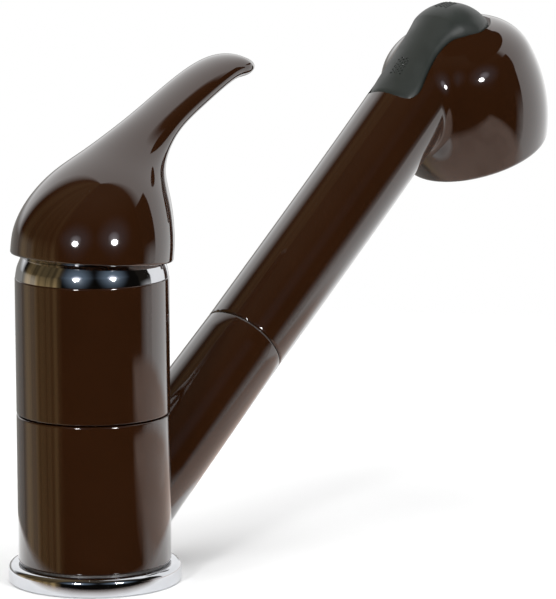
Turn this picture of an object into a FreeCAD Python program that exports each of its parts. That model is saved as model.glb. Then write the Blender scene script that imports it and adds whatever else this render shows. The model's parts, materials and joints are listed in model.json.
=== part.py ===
import FreeCAD, Part
import Sketcher
import math
import os

# Kitchen mixer tap with a lever on top and a pull-out spray on a slanted spout.
# Millimetres. The origin is the middle of the deck plane under the flange, +Z is up
# and the spout leaves along +X.

SIZES = {
    # body and base
    "body_radius": 25.0,
    "body_top": 100.2,
    "seam_height": 55.2,
    "seam_gap": 0.4,
    "edge_round": 0.6,
    "neck_radius": 20.0,
    "flange_reach": 3.3,
    "flange_height": 6.0,
    "flange_bevel": 2.0,
    "flange_clearance": 0.1,
    "seal_inner": 21.5,
    "seal_margin": 2.3,
    "seal_thickness": 1.6,
    "washer_thickness": 0.4,
    "running_gap": 0.05,
    # inlets, outlet and hose passage
    "port_radius": 4.5,
    "port_depth": 12.0,
    "channel_radius": 3.0,
    "inlet_back": 4.5,
    "inlet_side": 10.5,
    "outlet_back": 12.0,
    "hose_hole_radius": 7.2,
    "hose_hole_forward": 10.2,
    "stud_radius": 3.4,
    "stud_forward": 6.0,
    "stud_side": 12.6,
    "stud_depth": 12.0,
    "window_base": 14.0,
    "window_margin": 1.5,
    "window_face": 1.5,
    # swivelling sleeve and spout
    "sleeve_bore": 21.6,
    "glide_height": 4.0,
    "lower_glide_base": 8.5,
    "upper_glide_drop": 5.7,
    "spout_angle": 39.4,
    "spout_root_height": 10.6,
    "spout_root_radius": 15.85,
    "spout_mouth_radius": 14.46,
    "spout_length": 91.7,
    "spout_bore": 11.0,
    "collar_radius": 12.4,
    "collar_length": 23.5,
    "collar_flange": 0.4,
    "collar_lip_radius": 13.9,
    "dock_clearance": 0.1,
    # cartridge under the lever
    "seat_height": 72.0,
    "cartridge_radius": 17.5,
    "cartridge_clearance": 0.1,
    "peg_radius": 1.9,
    "peg_length": 2.5,
    "peg_forward": 9.5,
    "peg_side": 8.5,
    "base_thickness": 5.0,
    "port_seal_radius": 4.4,
    "port_seal_hole": 3.1,
    "port_seal_thickness": 1.0,
    "fixed_disc_radius": 15.3,
    "fixed_disc_thickness": 3.5,
    "moving_disc_radius": 13.4,
    "moving_disc_thickness": 3.5,
    "mixing_pocket_radius": 7.0,
    "mixing_pocket_depth": 1.5,
    "carrier_thickness": 4.0,
    "disc_gap": 0.05,
    "housing_bore": 15.5,
    "housing_lip": 2.0,
    "housing_collar_radius": 15.0,
    "housing_collar_height": 4.0,
    "rotor_clearance": 0.08,
    "rotor_table": 3.2,
    "rotor_neck_radius": 12.9,
    "rotor_height": 11.2,
    "slot_half_length": 5.8,
    "guide_side": 8.0,
    "guide_width": 2.0,
    "guide_height": 1.4,
    "guide_clearance": 0.1,
    "nut_radius": 20.4,
    "nut_seat_height": 92.8,
    "nut_inner": 15.3,
    "nut_height": 4.8,
    "nut_collar_radius": 18.5,
    "nut_collar_height": 4.8,
    "thread_clearance": 0.1,
    # lever, its spindle and the dome under it
    "pivot_height": 95.0,
    "dome_radius": 25.0,
    "dome_wall": 2.5,
    "dome_opening": 13.0,
    "lean_angle": 12.5,
    "finger_length": 8.5,
    "finger_radius": 1.6,
    "ball_radius": 2.2,
    "ball_clearance": 0.1,
    "pin_radius": 1.5,
    "pin_length": 24.6,
    "pin_clearance": 0.05,
    "spindle_width": 8.0,
    "spindle_drop": 2.5,
    "spindle_length": 39.0,
    "spindle_clearance": 0.1,
    "cap_cavity_radius": 26.0,
    "hub_radius": 8.5,
    "cap_pocket_radius": 16.0,
    "cap_pocket_reach": 32.0,
    "grub_reach": 35.0,
    "grub_radius": 2.5,
    "grub_length": 6.0,
    "plug_radius": 3.4,
    "plug_clearance": 0.05,
    "plug_inner": 17.2,
    "plug_outer": 19.2,
    # pull-out handset
    "handset_start": 92.1,
    "handset_radius": 14.46,
    "elbow_distance": 230.6,
    "elbow_rise": 1.9,
    "elbow_radius": 14.7,
    "waterway_radius": 6.0,
    "waterway_end": 219.0,
    "hose_thread_radius": 7.0,
    "hose_thread_length": 10.0,
    "plug_start": 72.0,
    "journal_radius": 9.5,
    "journal_length": 14.0,
    "journal_clearance": 0.06,
    "connector_bore": 5.0,
    "valve_radius": 4.9,
    "valve_length": 9.0,
    "clip_groove_depth": 1.0,
    "clip_thickness": 1.2,
    "clip_distance": 8.0,
    "clip_clearance": 0.15,
    "oring_distance": 4.0,
    # spray head
    "outlet_ahead": 14.8,
    "outlet_drop": 37.7,
    "outlet_tilt": 20.8,
    "rim_radius": 24.9,
    "belly_radius": 28.6,
    "belly_height": 20.0,
    "shoulder_rise": 14.0,
    "crown_radius": 17.0,
    "rim_wall": 2.6,
    "head_cavity": 17.0,
    "head_passage_radius": 5.0,
    "head_passage_length": 27.5,
    "face_inset": 1.2,
    "face_thickness": 3.6,
    "face_clearance": 0.1,
    "membrane_thickness": 1.6,
    "nozzle_radius": 1.0,
    "nozzle_clearance": 0.1,
    "nozzle_proud": 1.0,
    "nozzle_ring_outer": 18.3,
    "nozzle_ring_inner": 13.9,
    "aerator_radius": 10.6,
    "aerator_wall": 1.6,
    "aerator_height": 8.0,
    "aerator_slot": 1.0,
    "aerator_margin": 0.9,
    # rocker on the bend
    "pad_start": 196.0,
    "pad_start_radius": 15.0,
    "pad_radius": 16.0,
    "pad_thickness": 2.4,
    "pad_gap": 1.2,
    "pad_edge_gap": 0.7,
    "rocker_distance": 221.0,
    "rocker_rise": 10.2,
    "lug_width": 6.0,
    "lug_length": 6.4,
    "lug_clearance": 0.3,
    "rocker_pin_radius": 1.5,
    "rocker_pin_length": 16.0,
}
NOZZLE_COUNTS = (20, 14)
AERATOR_SLOT_COUNT = 5

# The least volume, in cubic millimetres, that a pocket must take away
LEAST_CUT = 0.1

# The lever's sections, in order from the cap's rim to the tip: forward and rise from the pivot
# of the back or top point, forward and rise of the front or under point, and half width.
LEVER_SECTIONS = [
    (-26.3, 13.6, 26.3, 9.0, 26.4),
    (-25.3, 20.5, 27.0, 13.5, 26.2),
    (-21.8, 27.8, 27.4, 18.5, 25.0),
    (-16.0, 34.5, 27.6, 23.0, 22.8),
    (-8.0, 40.5, 27.6, 27.5, 19.6),
    (2.0, 45.6, 27.5, 32.5, 15.4),
    (14.0, 51.4, 28.2, 38.5, 11.8),
    (27.0, 57.5, 34.5, 47.6, 9.9),
    (41.2, 64.6, 46.5, 55.2, 9.4),
    (53.6, 69.8, 58.3, 61.3, 9.1),
    (61.8, 71.6, 64.8, 63.4, 8.7),
    (67.2, 71.0, 68.8, 64.5, 7.9),
    (70.2, 69.4, 70.8, 65.4, 6.2),
]

LEVER_COLUMNS = ("back_forward", "back_rise", "front_forward", "front_rise", "half_width")

# Plan outline of the rocker pad: forward place and half width.
PAD_PLAN = [
    (141.5, 0.0),
    (143.0, 6.0),
    (150.0, 9.4),
    (160.0, 8.3),
    (168.0, 9.8),
    (177.0, 12.8),
    (186.0, 9.6),
    (189.0, 0.0),
]

doc = FreeCAD.newDocument("mixer_tap")
sheet = doc.addObject("Spreadsheet::Sheet", "Sizes")
parts = {}


class Size:
    """A length or angle: its value now, and the sheet formula that keeps it current."""

    def __init__(self, value, text):
        self.value = float(value)
        self.text = text

    def __add__(self, other):
        other = as_size(other)
        return Size(self.value + other.value, f"({self.text} + {other.text})")

    def __sub__(self, other):
        other = as_size(other)
        return Size(self.value - other.value, f"({self.text} - {other.text})")

    def __mul__(self, other):
        other = as_size(other)
        return Size(self.value * other.value, f"({self.text} * {other.text})")

    def __truediv__(self, other):
        other = as_size(other)
        return Size(self.value / other.value, f"({self.text} / {other.text})")

    def __radd__(self, other):
        return as_size(other) + self

    def __rsub__(self, other):
        return as_size(other) - self

    def __rmul__(self, other):
        return as_size(other) * self

    def __neg__(self):
        return Size(-self.value, f"(0 - {self.text})")


def as_size(number):
    if isinstance(number, Size):
        return number
    return Size(number, repr(float(number)))


def sine(angle):
    angle = as_size(angle)
    return Size(math.sin(math.radians(angle.value)), f"sin({angle.text} * 1 deg)")


def cosine(angle):
    angle = as_size(angle)
    return Size(math.cos(math.radians(angle.value)), f"cos({angle.text} * 1 deg)")


def root(number):
    return Size(math.sqrt(number.value), f"sqrt({number.text})")


def store(row, alias, value):
    sheet.set(f"A{row}", alias)
    sheet.set(f"B{row}", str(value))
    sheet.setAlias(f"B{row}", alias)
    return Size(value, f"Sizes.{alias}")


def fill_sheet():
    """Writes every driving dimension to the sheet and returns them by name."""
    named = {}
    for alias, value in SIZES.items():
        named[alias] = store(len(named) + 1, alias, value)
    for number, section in enumerate(LEVER_SECTIONS):
        for column, value in zip(LEVER_COLUMNS, section):
            alias = f"lever_{column}_no{number}"
            named[alias] = store(len(named) + 1, alias, value)
    for number, (forward, half_width) in enumerate(PAD_PLAN):
        for column, value in (("forward", forward), ("half_width", half_width)):
            alias = f"pad_{column}_no{number}"
            named[alias] = store(len(named) + 1, alias, value)
    doc.recompute()
    return named


class Named:
    """The sheet's sizes as attributes."""

    def __init__(self, named):
        self.__dict__.update(named)


S = Named(fill_sheet())

# The bend's middle and the middle of the spray head's rim, which hangs from it

elbow_forward = S.elbow_distance * cosine(S.spout_angle) - S.elbow_rise * sine(S.spout_angle)
elbow_height = (S.spout_root_height + S.elbow_distance * sine(S.spout_angle)
                + S.elbow_rise * cosine(S.spout_angle))
outlet_forward = elbow_forward + S.outlet_ahead
outlet_height = elbow_height - S.outlet_drop


# Frames: each returns a placement formula for a piece whose own axis is its +Z.

def place(forward, side, rise, yaw=0, pitch=0, roll=0):
    texts = [as_size(number).text for number in (forward, side, rise, yaw, pitch, roll)]
    return "placement(vector({}; {}; {}); rotation({}; {}; {}))".format(*texts)


def upright(rise, forward=0, side=0):
    return place(forward, side, rise)


def on_spout(distance, rise=0):
    """Along the spout's axis, with rise measured square to it in the upright plane."""
    distance = as_size(distance)
    rise = as_size(rise)
    forward = distance * cosine(S.spout_angle) - rise * sine(S.spout_angle)
    height = S.spout_root_height + distance * sine(S.spout_angle) + rise * cosine(S.spout_angle)
    return place(forward, 0, height, 0, 90 - S.spout_angle)


def on_outlet(reach, forward=0, side=0):
    """Up the spray head's axis from its rim; forward and side are square to that axis."""
    reach = as_size(reach)
    forward = as_size(forward)
    x = outlet_forward - reach * sine(S.outlet_tilt) + forward * cosine(S.outlet_tilt)
    z = outlet_height + reach * cosine(S.outlet_tilt) + forward * sine(S.outlet_tilt)
    return place(x, side, z, 0, -S.outlet_tilt)


def on_lean(reach):
    """Up the spindle's leaning axis from the lever's pivot."""
    reach = as_size(reach)
    height = S.pivot_height + reach * cosine(S.lean_angle)
    return place(reach * sine(S.lean_angle), 0, height, 0, S.lean_angle)


def across_lean(reach, start):
    """Square to the spindle, pointing forward, from a start outside its axis."""
    reach = as_size(reach)
    start = as_size(start)
    x = reach * sine(S.lean_angle) + start * cosine(S.lean_angle)
    z = S.pivot_height + reach * cosine(S.lean_angle) - start * sine(S.lean_angle)
    return place(x, 0, z, 0, 90 + S.lean_angle)


def crosswise(middle, half_length):
    """Lying along Y with its middle at a place (forward, rise)."""
    return place(middle[0], half_length, middle[1], 0, 0, 90)


# Primitives

def bind(thing, **sizes):
    for name, size in sizes.items():
        thing.setExpression(name, as_size(size).text)


def cylinder(name, radius, height, frame):
    thing = doc.addObject("Part::Cylinder", name)
    bind(thing, Radius=radius, Height=height)
    thing.setExpression("Placement", frame)
    return thing


def cone(name, base, top, height, frame):
    thing = doc.addObject("Part::Cone", name)
    bind(thing, Radius1=base, Radius2=top, Height=height)
    thing.setExpression("Placement", frame)
    return thing


def sphere(name, radius, frame):
    thing = doc.addObject("Part::Sphere", name)
    bind(thing, Radius=radius)
    thing.setExpression("Placement", frame)
    return thing


def torus(name, ring, section, frame):
    thing = doc.addObject("Part::Torus", name)
    bind(thing, Radius1=ring, Radius2=section)
    thing.setExpression("Placement", frame)
    return thing


def box(name, length, width, height, frame):
    thing = doc.addObject("Part::Box", name)
    bind(thing, Length=length, Width=width, Height=height)
    thing.setExpression("Placement", frame)
    return thing


def fuse(name, *things):
    thing = doc.addObject("Part::MultiFuse", name)
    thing.Shapes = list(things)
    thing.Refine = True
    return thing


def cut(name, base, *tools):
    thing = doc.addObject("Part::Cut", name)
    thing.Base = base
    thing.Tool = tools[0] if len(tools) == 1 else fuse(name + "_tools", *tools)
    thing.Refine = True
    return thing


def common(name, first, second):
    thing = doc.addObject("Part::MultiCommon", name)
    thing.Shapes = [first, second]
    return thing


def ring(name, outer, inner, height, frame):
    through = cylinder(name + "_hole", inner, height, frame)
    return cut(name, cylinder(name + "_disc", outer, height, frame), through)


def keep(label, thing):
    """Names a finished sub-part."""
    thing.Label = label
    parts[label] = thing
    return thing


# Sketched bodies

def sketch_on(body, role, lift=None):
    sketch = body.newObject("Sketcher::SketchObject", body.Name + "_sketch")
    plane = [item for item in body.Origin.OriginFeatures if item.Role == role][0]
    sketch.AttachmentSupport = [(plane, "")]
    sketch.MapMode = "FlatFace"
    if lift is not None:
        sketch.setExpression(".AttachmentOffset.Base.z", as_size(lift).text)
    return sketch


def hold(sketch, kind, *ids, size):
    size = as_size(size)
    number = sketch.addConstraint(Sketcher.Constraint(kind, *ids, size.value))
    sketch.setExpression(f"Constraints[{number}]", size.text)


def pin_point(sketch, edge, end, x, y):
    """Fixes one end of an edge at (x, y) from the sketch's origin."""
    for kind, axis, number in (("DistanceX", -2, as_size(x)), ("DistanceY", -1, as_size(y))):
        if abs(number.value) < 1e-9:
            sketch.addConstraint(Sketcher.Constraint("PointOnObject", edge, end, axis))
        else:
            hold(sketch, kind, -1, 1, edge, end, size=number)


def draw_outline(sketch, points, arcs=None):
    """A closed outline; arcs maps an edge's number to its radius where that edge bulges outward."""
    arcs = arcs or {}
    spots = [FreeCAD.Vector(as_size(x).value, as_size(y).value, 0) for x, y in points]
    count = len(spots)
    ends = []
    for number in range(count):
        start, finish = spots[number], spots[(number + 1) % count]
        if number in arcs:
            radius = as_size(arcs[number])
            chord = finish - start
            middle = start + chord * 0.5
            inward = FreeCAD.Vector(-chord.y, chord.x, 0).normalize()
            centre = middle + inward * math.sqrt(radius.value ** 2 - (chord.Length / 2) ** 2)
            angles = [math.atan2(spot.y - centre.y, spot.x - centre.x) for spot in (start, finish)]
            circle = Part.Circle(centre, FreeCAD.Vector(0, 0, 1), radius.value)
            edge = sketch.addGeometry(Part.ArcOfCircle(circle, angles[0], angles[1]), False)
            hold(sketch, "Radius", edge, size=radius)
        else:
            edge = sketch.addGeometry(Part.LineSegment(start, finish), False)
        ends.append(edge)
    for number in range(count):
        following = ends[(number + 1) % count]
        sketch.addConstraint(Sketcher.Constraint("Coincident", ends[number], 2, following, 1))
        pin_point(sketch, ends[number], 1, *points[number])


def revolved(name, points, arcs=None, frame=None):
    """A body turned about its own Z from an outline of (radius, height), drawn anticlockwise."""
    body = doc.addObject("PartDesign::Body", name)
    sketch = sketch_on(body, "XZ_Plane")
    draw_outline(sketch, points, arcs)
    turn = body.newObject("PartDesign::Revolution", name + "_turn")
    turn.Profile = sketch
    turn.ReferenceAxis = (sketch, ["V_Axis"])
    turn.Angle = 360
    body.Tip = turn
    if frame is not None:
        body.setExpression("Placement", frame)
    return body


def pocket_circles(body, name, circles, depth, lift=0, upward=True):
    """Round pockets from a level plane; circles are (forward, side, radius)."""
    sketch = sketch_on(body, "XY_Plane", lift)
    for forward, side, radius in circles:
        centre = FreeCAD.Vector(as_size(forward).value, as_size(side).value, 0)
        circle = Part.Circle(centre, FreeCAD.Vector(0, 0, 1), as_size(radius).value)
        edge = sketch.addGeometry(circle, False)
        pin_point(sketch, edge, 3, forward, side)
        hold(sketch, "Radius", edge, size=radius)
    return finish_pocket(body, name, sketch, depth, upward)


def pocket_rectangle(body, name, low, high, depth, lift=0, upward=True):
    sketch = sketch_on(body, "XY_Plane", lift)
    draw_outline(sketch, [(low[0], low[1]), (high[0], low[1]), (high[0], high[1]), (low[0], high[1])])
    return finish_pocket(body, name, sketch, depth, upward)


def finish_pocket(body, name, sketch, depth, upward):
    doc.recompute()
    before = body.Shape.Volume
    pocket = body.newObject("PartDesign::Pocket", name)
    pocket.Profile = sketch
    pocket.Reversed = upward
    bind(pocket, Length=depth)
    body.Tip = pocket
    doc.recompute()
    if not body.Shape.Volume < before - LEAST_CUT:
        raise RuntimeError(f"{name} removes nothing")
    return pocket


# Heights in the cartridge stack

disc_seat = S.seat_height + S.base_thickness
moving_seat = disc_seat + S.fixed_disc_thickness + S.disc_gap
carrier_seat = moving_seat + S.moving_disc_thickness
rotor_seat = carrier_seat + S.carrier_thickness + S.guide_clearance
lip_height = rotor_seat + S.rotor_table + S.guide_clearance
shoulder_height = lip_height + S.housing_lip
nut_top = shoulder_height + S.nut_height
closed_shift = S.finger_length * sine(S.lean_angle)
upper_glide_base = S.seam_height - S.upper_glide_drop
water_ways = (
    ("hot", -S.inlet_back, S.inlet_side),
    ("cold", -S.inlet_back, -S.inlet_side),
    ("outlet", -S.outlet_back, as_size(0)),
)


def make_mixer_body():
    """The fixed casting: a neck for the sleeve, a window for the hose and the cartridge's cup."""
    cup_floor = S.seam_height + S.seam_gap
    points = [
        (0, 0),
        (S.neck_radius, 0),
        (S.neck_radius, cup_floor),
        (S.body_radius - S.edge_round, cup_floor),
        (S.body_radius, cup_floor + S.edge_round),
        (S.body_radius, S.body_top - S.edge_round),
        (S.body_radius - S.edge_round, S.body_top),
        (S.nut_radius + S.thread_clearance, S.body_top),
        (S.nut_radius + S.thread_clearance, S.nut_seat_height),
        (S.cartridge_radius + S.cartridge_clearance, S.nut_seat_height),
        (S.cartridge_radius + S.cartridge_clearance, S.seat_height),
        (0, S.seat_height),
    ]
    body = revolved("mixer_body", points, {3: S.edge_round, 5: S.edge_round})
    ports = [(forward, side, S.port_radius) for _, forward, side in water_ways]
    pocket_circles(body, "ports", ports, S.port_depth)
    channels = [(forward, side, S.channel_radius) for _, forward, side in water_ways]
    pocket_circles(body, "channels", channels, S.seat_height - S.port_depth, lift=S.port_depth)
    studs = [(S.stud_forward, S.stud_side, S.stud_radius), (S.stud_forward, -S.stud_side, S.stud_radius)]
    pocket_circles(body, "stud_holes", studs, S.stud_depth)
    passage = [(S.hose_hole_forward, 0, S.hose_hole_radius)]
    pocket_circles(body, "hose_passage", passage, S.window_base)
    low = (S.window_face, -S.body_radius)
    high = (S.body_radius, S.body_radius)
    window_top = upper_glide_base - S.window_margin
    pocket_rectangle(body, "window", low, high, window_top - S.window_base, lift=S.window_base)
    pegs = [(S.peg_forward, S.peg_side, S.peg_radius + S.cartridge_clearance),
            (S.peg_forward, -S.peg_side, S.peg_radius + S.cartridge_clearance)]
    depth = S.peg_length + S.cartridge_clearance
    pocket_circles(body, "peg_holes", pegs, depth, lift=S.seat_height, upward=False)
    keep("mixer_body", body)


def make_base_flange():
    inner = S.neck_radius + S.flange_clearance
    flange_radius = S.body_radius + S.flange_reach
    seal_outer = flange_radius - S.seal_margin
    points = [
        (inner, 0),
        (S.seal_inner, 0),
        (S.seal_inner, S.seal_thickness),
        (seal_outer, S.seal_thickness),
        (seal_outer, 0),
        (flange_radius, 0),
        (flange_radius, S.flange_height - S.flange_bevel),
        (flange_radius - S.flange_bevel, S.flange_height),
        (inner, S.flange_height),
    ]
    keep("base_flange", revolved("base_flange", points, {6: S.flange_bevel}))
    keep("deck_seal", ring("deck_seal", seal_outer, S.seal_inner, S.seal_thickness, upright(0)))
    washer_outer = S.body_radius - S.edge_round
    washer = ring("slip_washer", washer_outer, S.sleeve_bore, S.washer_thickness, upright(S.flange_height))
    keep("slip_washer", washer)


def make_glide_rings():
    outer = S.sleeve_bore - S.running_gap
    for label, base in (("lower_glide_ring", S.lower_glide_base), ("upper_glide_ring", upper_glide_base)):
        keep(label, ring(label, outer, S.neck_radius, S.glide_height, upright(base)))


def make_swivel_spout():
    """The turning sleeve with the fixed length of the spout, one casting."""
    base = S.flange_height + S.washer_thickness + S.running_gap
    points = [
        (S.neck_radius, base),
        (S.body_radius - S.edge_round, base),
        (S.body_radius, base + S.edge_round),
        (S.body_radius, S.seam_height - S.edge_round),
        (S.body_radius - S.edge_round, S.seam_height),
        (S.neck_radius, S.seam_height),
    ]
    sleeve = revolved("sleeve", points, {1: S.edge_round, 3: S.edge_round})
    start = S.edge_round
    length = S.spout_length - start
    tube = cone("spout_tube", S.spout_root_radius, S.spout_mouth_radius, length, on_spout(start))
    outside = fuse("spout_outside", sleeve, tube)
    bore = cylinder("sleeve_bore", S.sleeve_bore, S.body_top, upright(-S.flange_height))
    hose_bore = cylinder("hose_bore", S.spout_bore, S.spout_length, on_spout(S.neck_radius))
    socket_start = S.spout_length - S.collar_length
    socket = cylinder("collar_socket", S.collar_radius, S.spout_length, on_spout(socket_start))
    keep("swivel_spout", cut("swivel_spout", outside, bore, hose_bore, socket))
    guide = cylinder("collar_guide", S.collar_radius, S.collar_length, on_spout(socket_start))
    flange = cylinder("collar_lip", S.collar_lip_radius, S.collar_flange, on_spout(S.spout_length))
    through = cylinder("collar_hole", S.spout_bore + S.running_gap, S.spout_length, on_spout(S.neck_radius))
    keep("docking_collar", cut("docking_collar", fuse("collar_outside", guide, flange), through))


def make_cartridge_base():
    disc = cylinder("base_disc", S.cartridge_radius, S.base_thickness, upright(S.seat_height))
    pegs = []
    for name, side in (("left_peg", S.peg_side), ("right_peg", -S.peg_side)):
        frame = upright(S.seat_height - S.peg_length, S.peg_forward, side)
        pegs.append(cylinder(name, S.peg_radius, S.peg_length + S.base_thickness / 2, frame))
    holes = []
    for water, forward, side in water_ways:
        frame = upright(S.seat_height, forward, side)
        holes.append(cylinder(water + "_way", S.channel_radius, S.base_thickness, frame))
        recess = S.port_seal_radius + S.cartridge_clearance
        holes.append(cylinder(water + "_seal_recess", recess, S.port_seal_thickness, frame))
        seal = ring(water + "_port_seal", S.port_seal_radius, S.port_seal_hole, S.port_seal_thickness, frame)
        keep(water + "_port_seal", seal)
    keep("cartridge_base", cut("cartridge_base", fuse("base_outside", disc, *pegs), *holes))


def make_discs():
    """The fixed ceramic disc, the moving one and the carrier that the spindle's ball pushes."""
    fixed = cylinder("fixed_blank", S.fixed_disc_radius, S.fixed_disc_thickness, upright(disc_seat))
    holes = []
    for water, forward, side in water_ways:
        frame = upright(disc_seat, forward, side)
        holes.append(cylinder(water + "_disc_way", S.channel_radius, S.fixed_disc_thickness, frame))
    keep("fixed_disc", cut("fixed_disc", fixed, *holes))
    start = -closed_shift
    moving_frame = upright(moving_seat, start)
    moving = cylinder("moving_blank", S.moving_disc_radius, S.moving_disc_thickness, moving_frame)
    frame = upright(moving_seat, start)
    pocket = cylinder("mixing_pocket", S.mixing_pocket_radius, S.mixing_pocket_depth, frame)
    keep("moving_disc", cut("moving_disc", moving, pocket))
    carrier_frame = upright(carrier_seat, start)
    carrier = cylinder("carrier_blank", S.moving_disc_radius, S.carrier_thickness, carrier_frame)
    frame = upright(carrier_seat, start)
    cuts = [cylinder("ball_socket", S.ball_radius + S.ball_clearance, S.carrier_thickness, frame)]
    length = S.moving_disc_radius * 2
    depth = S.guide_height + S.guide_clearance
    rise = carrier_seat + S.carrier_thickness - depth
    width = S.guide_width + S.guide_clearance * 2
    for name, side in (("left_groove", S.guide_side - S.guide_clearance),
                       ("right_groove", -S.guide_side - S.guide_width - S.guide_clearance)):
        frame = place(start - S.moving_disc_radius, side, rise)
        cuts.append(box(name, length, width, depth, frame))
    keep("disc_carrier", cut("disc_carrier", carrier, *cuts))


def make_cartridge_housing():
    points = [
        (S.housing_bore, disc_seat),
        (S.cartridge_radius, disc_seat),
        (S.cartridge_radius, shoulder_height),
        (S.housing_collar_radius, shoulder_height),
        (S.housing_collar_radius, shoulder_height + S.housing_collar_height),
        (S.rotor_neck_radius + S.rotor_clearance, shoulder_height + S.housing_collar_height),
        (S.rotor_neck_radius + S.rotor_clearance, lip_height),
        (S.housing_bore, lip_height),
    ]
    keep("cartridge_housing", revolved("cartridge_housing", points))


def make_cartridge_rotor():
    """The turning head of the cartridge, with guides for the carrier and a slot for the spindle."""
    table_radius = S.housing_bore - S.rotor_clearance
    table = cylinder("rotor_table_disc", table_radius, S.rotor_table, upright(rotor_seat))
    neck = cylinder("rotor_neck", S.rotor_neck_radius, S.rotor_height, upright(rotor_seat))
    guides = []
    half = S.rotor_neck_radius / 2
    for name, side in (("left_guide", S.guide_side), ("right_guide", -S.guide_side - S.guide_width)):
        rise = rotor_seat - S.guide_height
        frame = place(-half, side, rise)
        guides.append(box(name, half * 2, S.guide_width, S.guide_height + S.rotor_table / 2, frame))
    outside = fuse("rotor_outside", table, neck, *guides)
    half_width = S.spindle_width / 2 + S.spindle_clearance
    frame = place(-S.slot_half_length, -half_width, rotor_seat - S.guide_height)
    slot = box("rotor_slot", S.slot_half_length * 2, half_width * 2, S.rotor_height * 2, frame)
    frame = crosswise((0, S.pivot_height), S.rotor_neck_radius * 2)
    pin_hole = cylinder("rotor_pin_hole", S.pin_radius, S.rotor_neck_radius * 4, frame)
    keep("cartridge_rotor", cut("cartridge_rotor", outside, slot, pin_hole))
    frame = crosswise((0, S.pivot_height), S.pin_length / 2)
    keep("fulcrum_pin", cylinder("fulcrum_pin", S.pin_radius, S.pin_length, frame))


def make_nut_and_dome():
    nut_points = [
        (S.nut_inner, shoulder_height),
        (S.nut_radius, shoulder_height),
        (S.nut_radius, nut_top),
        (S.nut_collar_radius, nut_top),
        (S.nut_collar_radius, nut_top + S.nut_collar_height),
        (S.nut_inner, nut_top + S.nut_collar_height),
    ]
    keep("cartridge_nut", revolved("cartridge_nut", nut_points))
    thread = S.nut_collar_radius + S.thread_clearance
    height = S.dome_radius * 2
    ball = sphere("dome_ball", S.dome_radius, upright(S.pivot_height))
    above = cylinder("dome_above_body", S.body_radius * 2, height, upright(S.body_top))
    inner_ball = sphere("dome_inner_ball", S.dome_radius - S.dome_wall, upright(S.pivot_height))
    above_nut = cylinder("dome_above_nut", S.body_radius, height, upright(nut_top + S.nut_collar_height))
    hollow = common("dome_hollow", inner_ball, above_nut)
    thread_bore = cylinder("dome_thread", thread, S.dome_radius / 2, upright(S.body_top - S.dome_wall))
    opening = cylinder("dome_opening_bore", S.dome_opening, height, upright(S.body_top))
    keep("dome_cover", cut("dome_cover", common("dome_outside", ball, above), hollow, thread_bore, opening))


def make_spindle():
    half = S.spindle_width / 2
    length = S.spindle_length + S.spindle_drop
    x = -S.spindle_drop * sine(S.lean_angle) - half * cosine(S.lean_angle)
    z = S.pivot_height - S.spindle_drop * cosine(S.lean_angle) + half * sine(S.lean_angle)
    bar = box("spindle_bar", S.spindle_width, S.spindle_width, length, place(x, -half, z, 0, S.lean_angle))
    finger = cylinder("spindle_finger", S.finger_radius, S.finger_length, on_lean(-S.finger_length))
    ball = sphere("spindle_ball", S.ball_radius, on_lean(-S.finger_length))
    frame = crosswise((0, S.pivot_height), S.spindle_width)
    hole = cylinder("spindle_hole", S.pin_radius + S.pin_clearance, S.spindle_width * 2, frame)
    keep("lever_spindle", cut("lever_spindle", fuse("spindle_outside", bar, finger, ball), hole))


def lever_section(number):
    """Middle, upward half and sideways half of one section of the lever, from the pivot."""
    back_x, back_z, front_x, front_z, half_width = [
        getattr(S, f"lever_{column}_no{number}").value for column in LEVER_COLUMNS]
    back = FreeCAD.Vector(back_x, 0, back_z)
    front = FreeCAD.Vector(front_x, 0, front_z)
    return (back + front) / 2, (back - front) / 2, FreeCAD.Vector(0, half_width, 0)


def lever_quarter(sections, spacing, turn):
    """A quarter of the lever's skin: exact quarter ovals, carried smoothly from section to section."""
    corner = math.sqrt(2)
    rows = []
    for angle, reach in ((turn - 0.5, 1), (turn, corner), (turn + 0.5, 1)):
        upward = math.cos(angle * math.pi / 2) * reach
        sideways = math.sin(angle * math.pi / 2) * reach
        points = [middle + up * upward + side * sideways for middle, up, side in sections]
        line = Part.BSplineCurve()
        line.interpolate(Points=points, Parameters=spacing)
        rows.append(line)
    first = rows[0]
    weights = [[weight] * len(first.getPoles()) for weight in (1, 1 / corner, 1)]
    poles = [line.getPoles() for line in rows]
    skin = Part.BSplineSurface()
    skin.buildFromPolesMultsKnots(poles, [3, 3], first.getMultiplicities(), [0, 1], first.getKnots(),
                                  False, False, 2, first.Degree, weights)
    return skin


def lever_outside():
    """The closed outside of the cap and lever through the sheet's sections."""
    sections = [lever_section(number) for number in range(len(LEVER_SECTIONS))]
    spacing = [0.0]
    for before, after in zip(sections, sections[1:]):
        step = (after[0] - before[0]).Length + (after[1] - before[1]).Length
        spacing.append(spacing[-1] + step)
    quarters = [lever_quarter(sections, spacing, turn) for turn in range(4)]
    faces = [quarter.toShape() for quarter in quarters]
    for end in (spacing[0], spacing[-1]):
        edges = [quarter.vIso(end).toShape() for quarter in quarters]
        faces.append(Part.Face(Part.Wire(Part.__sortEdges__(edges))))
    shell = Part.makeShell(faces)
    shell.sewShape()
    return Part.Solid(shell)


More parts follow.
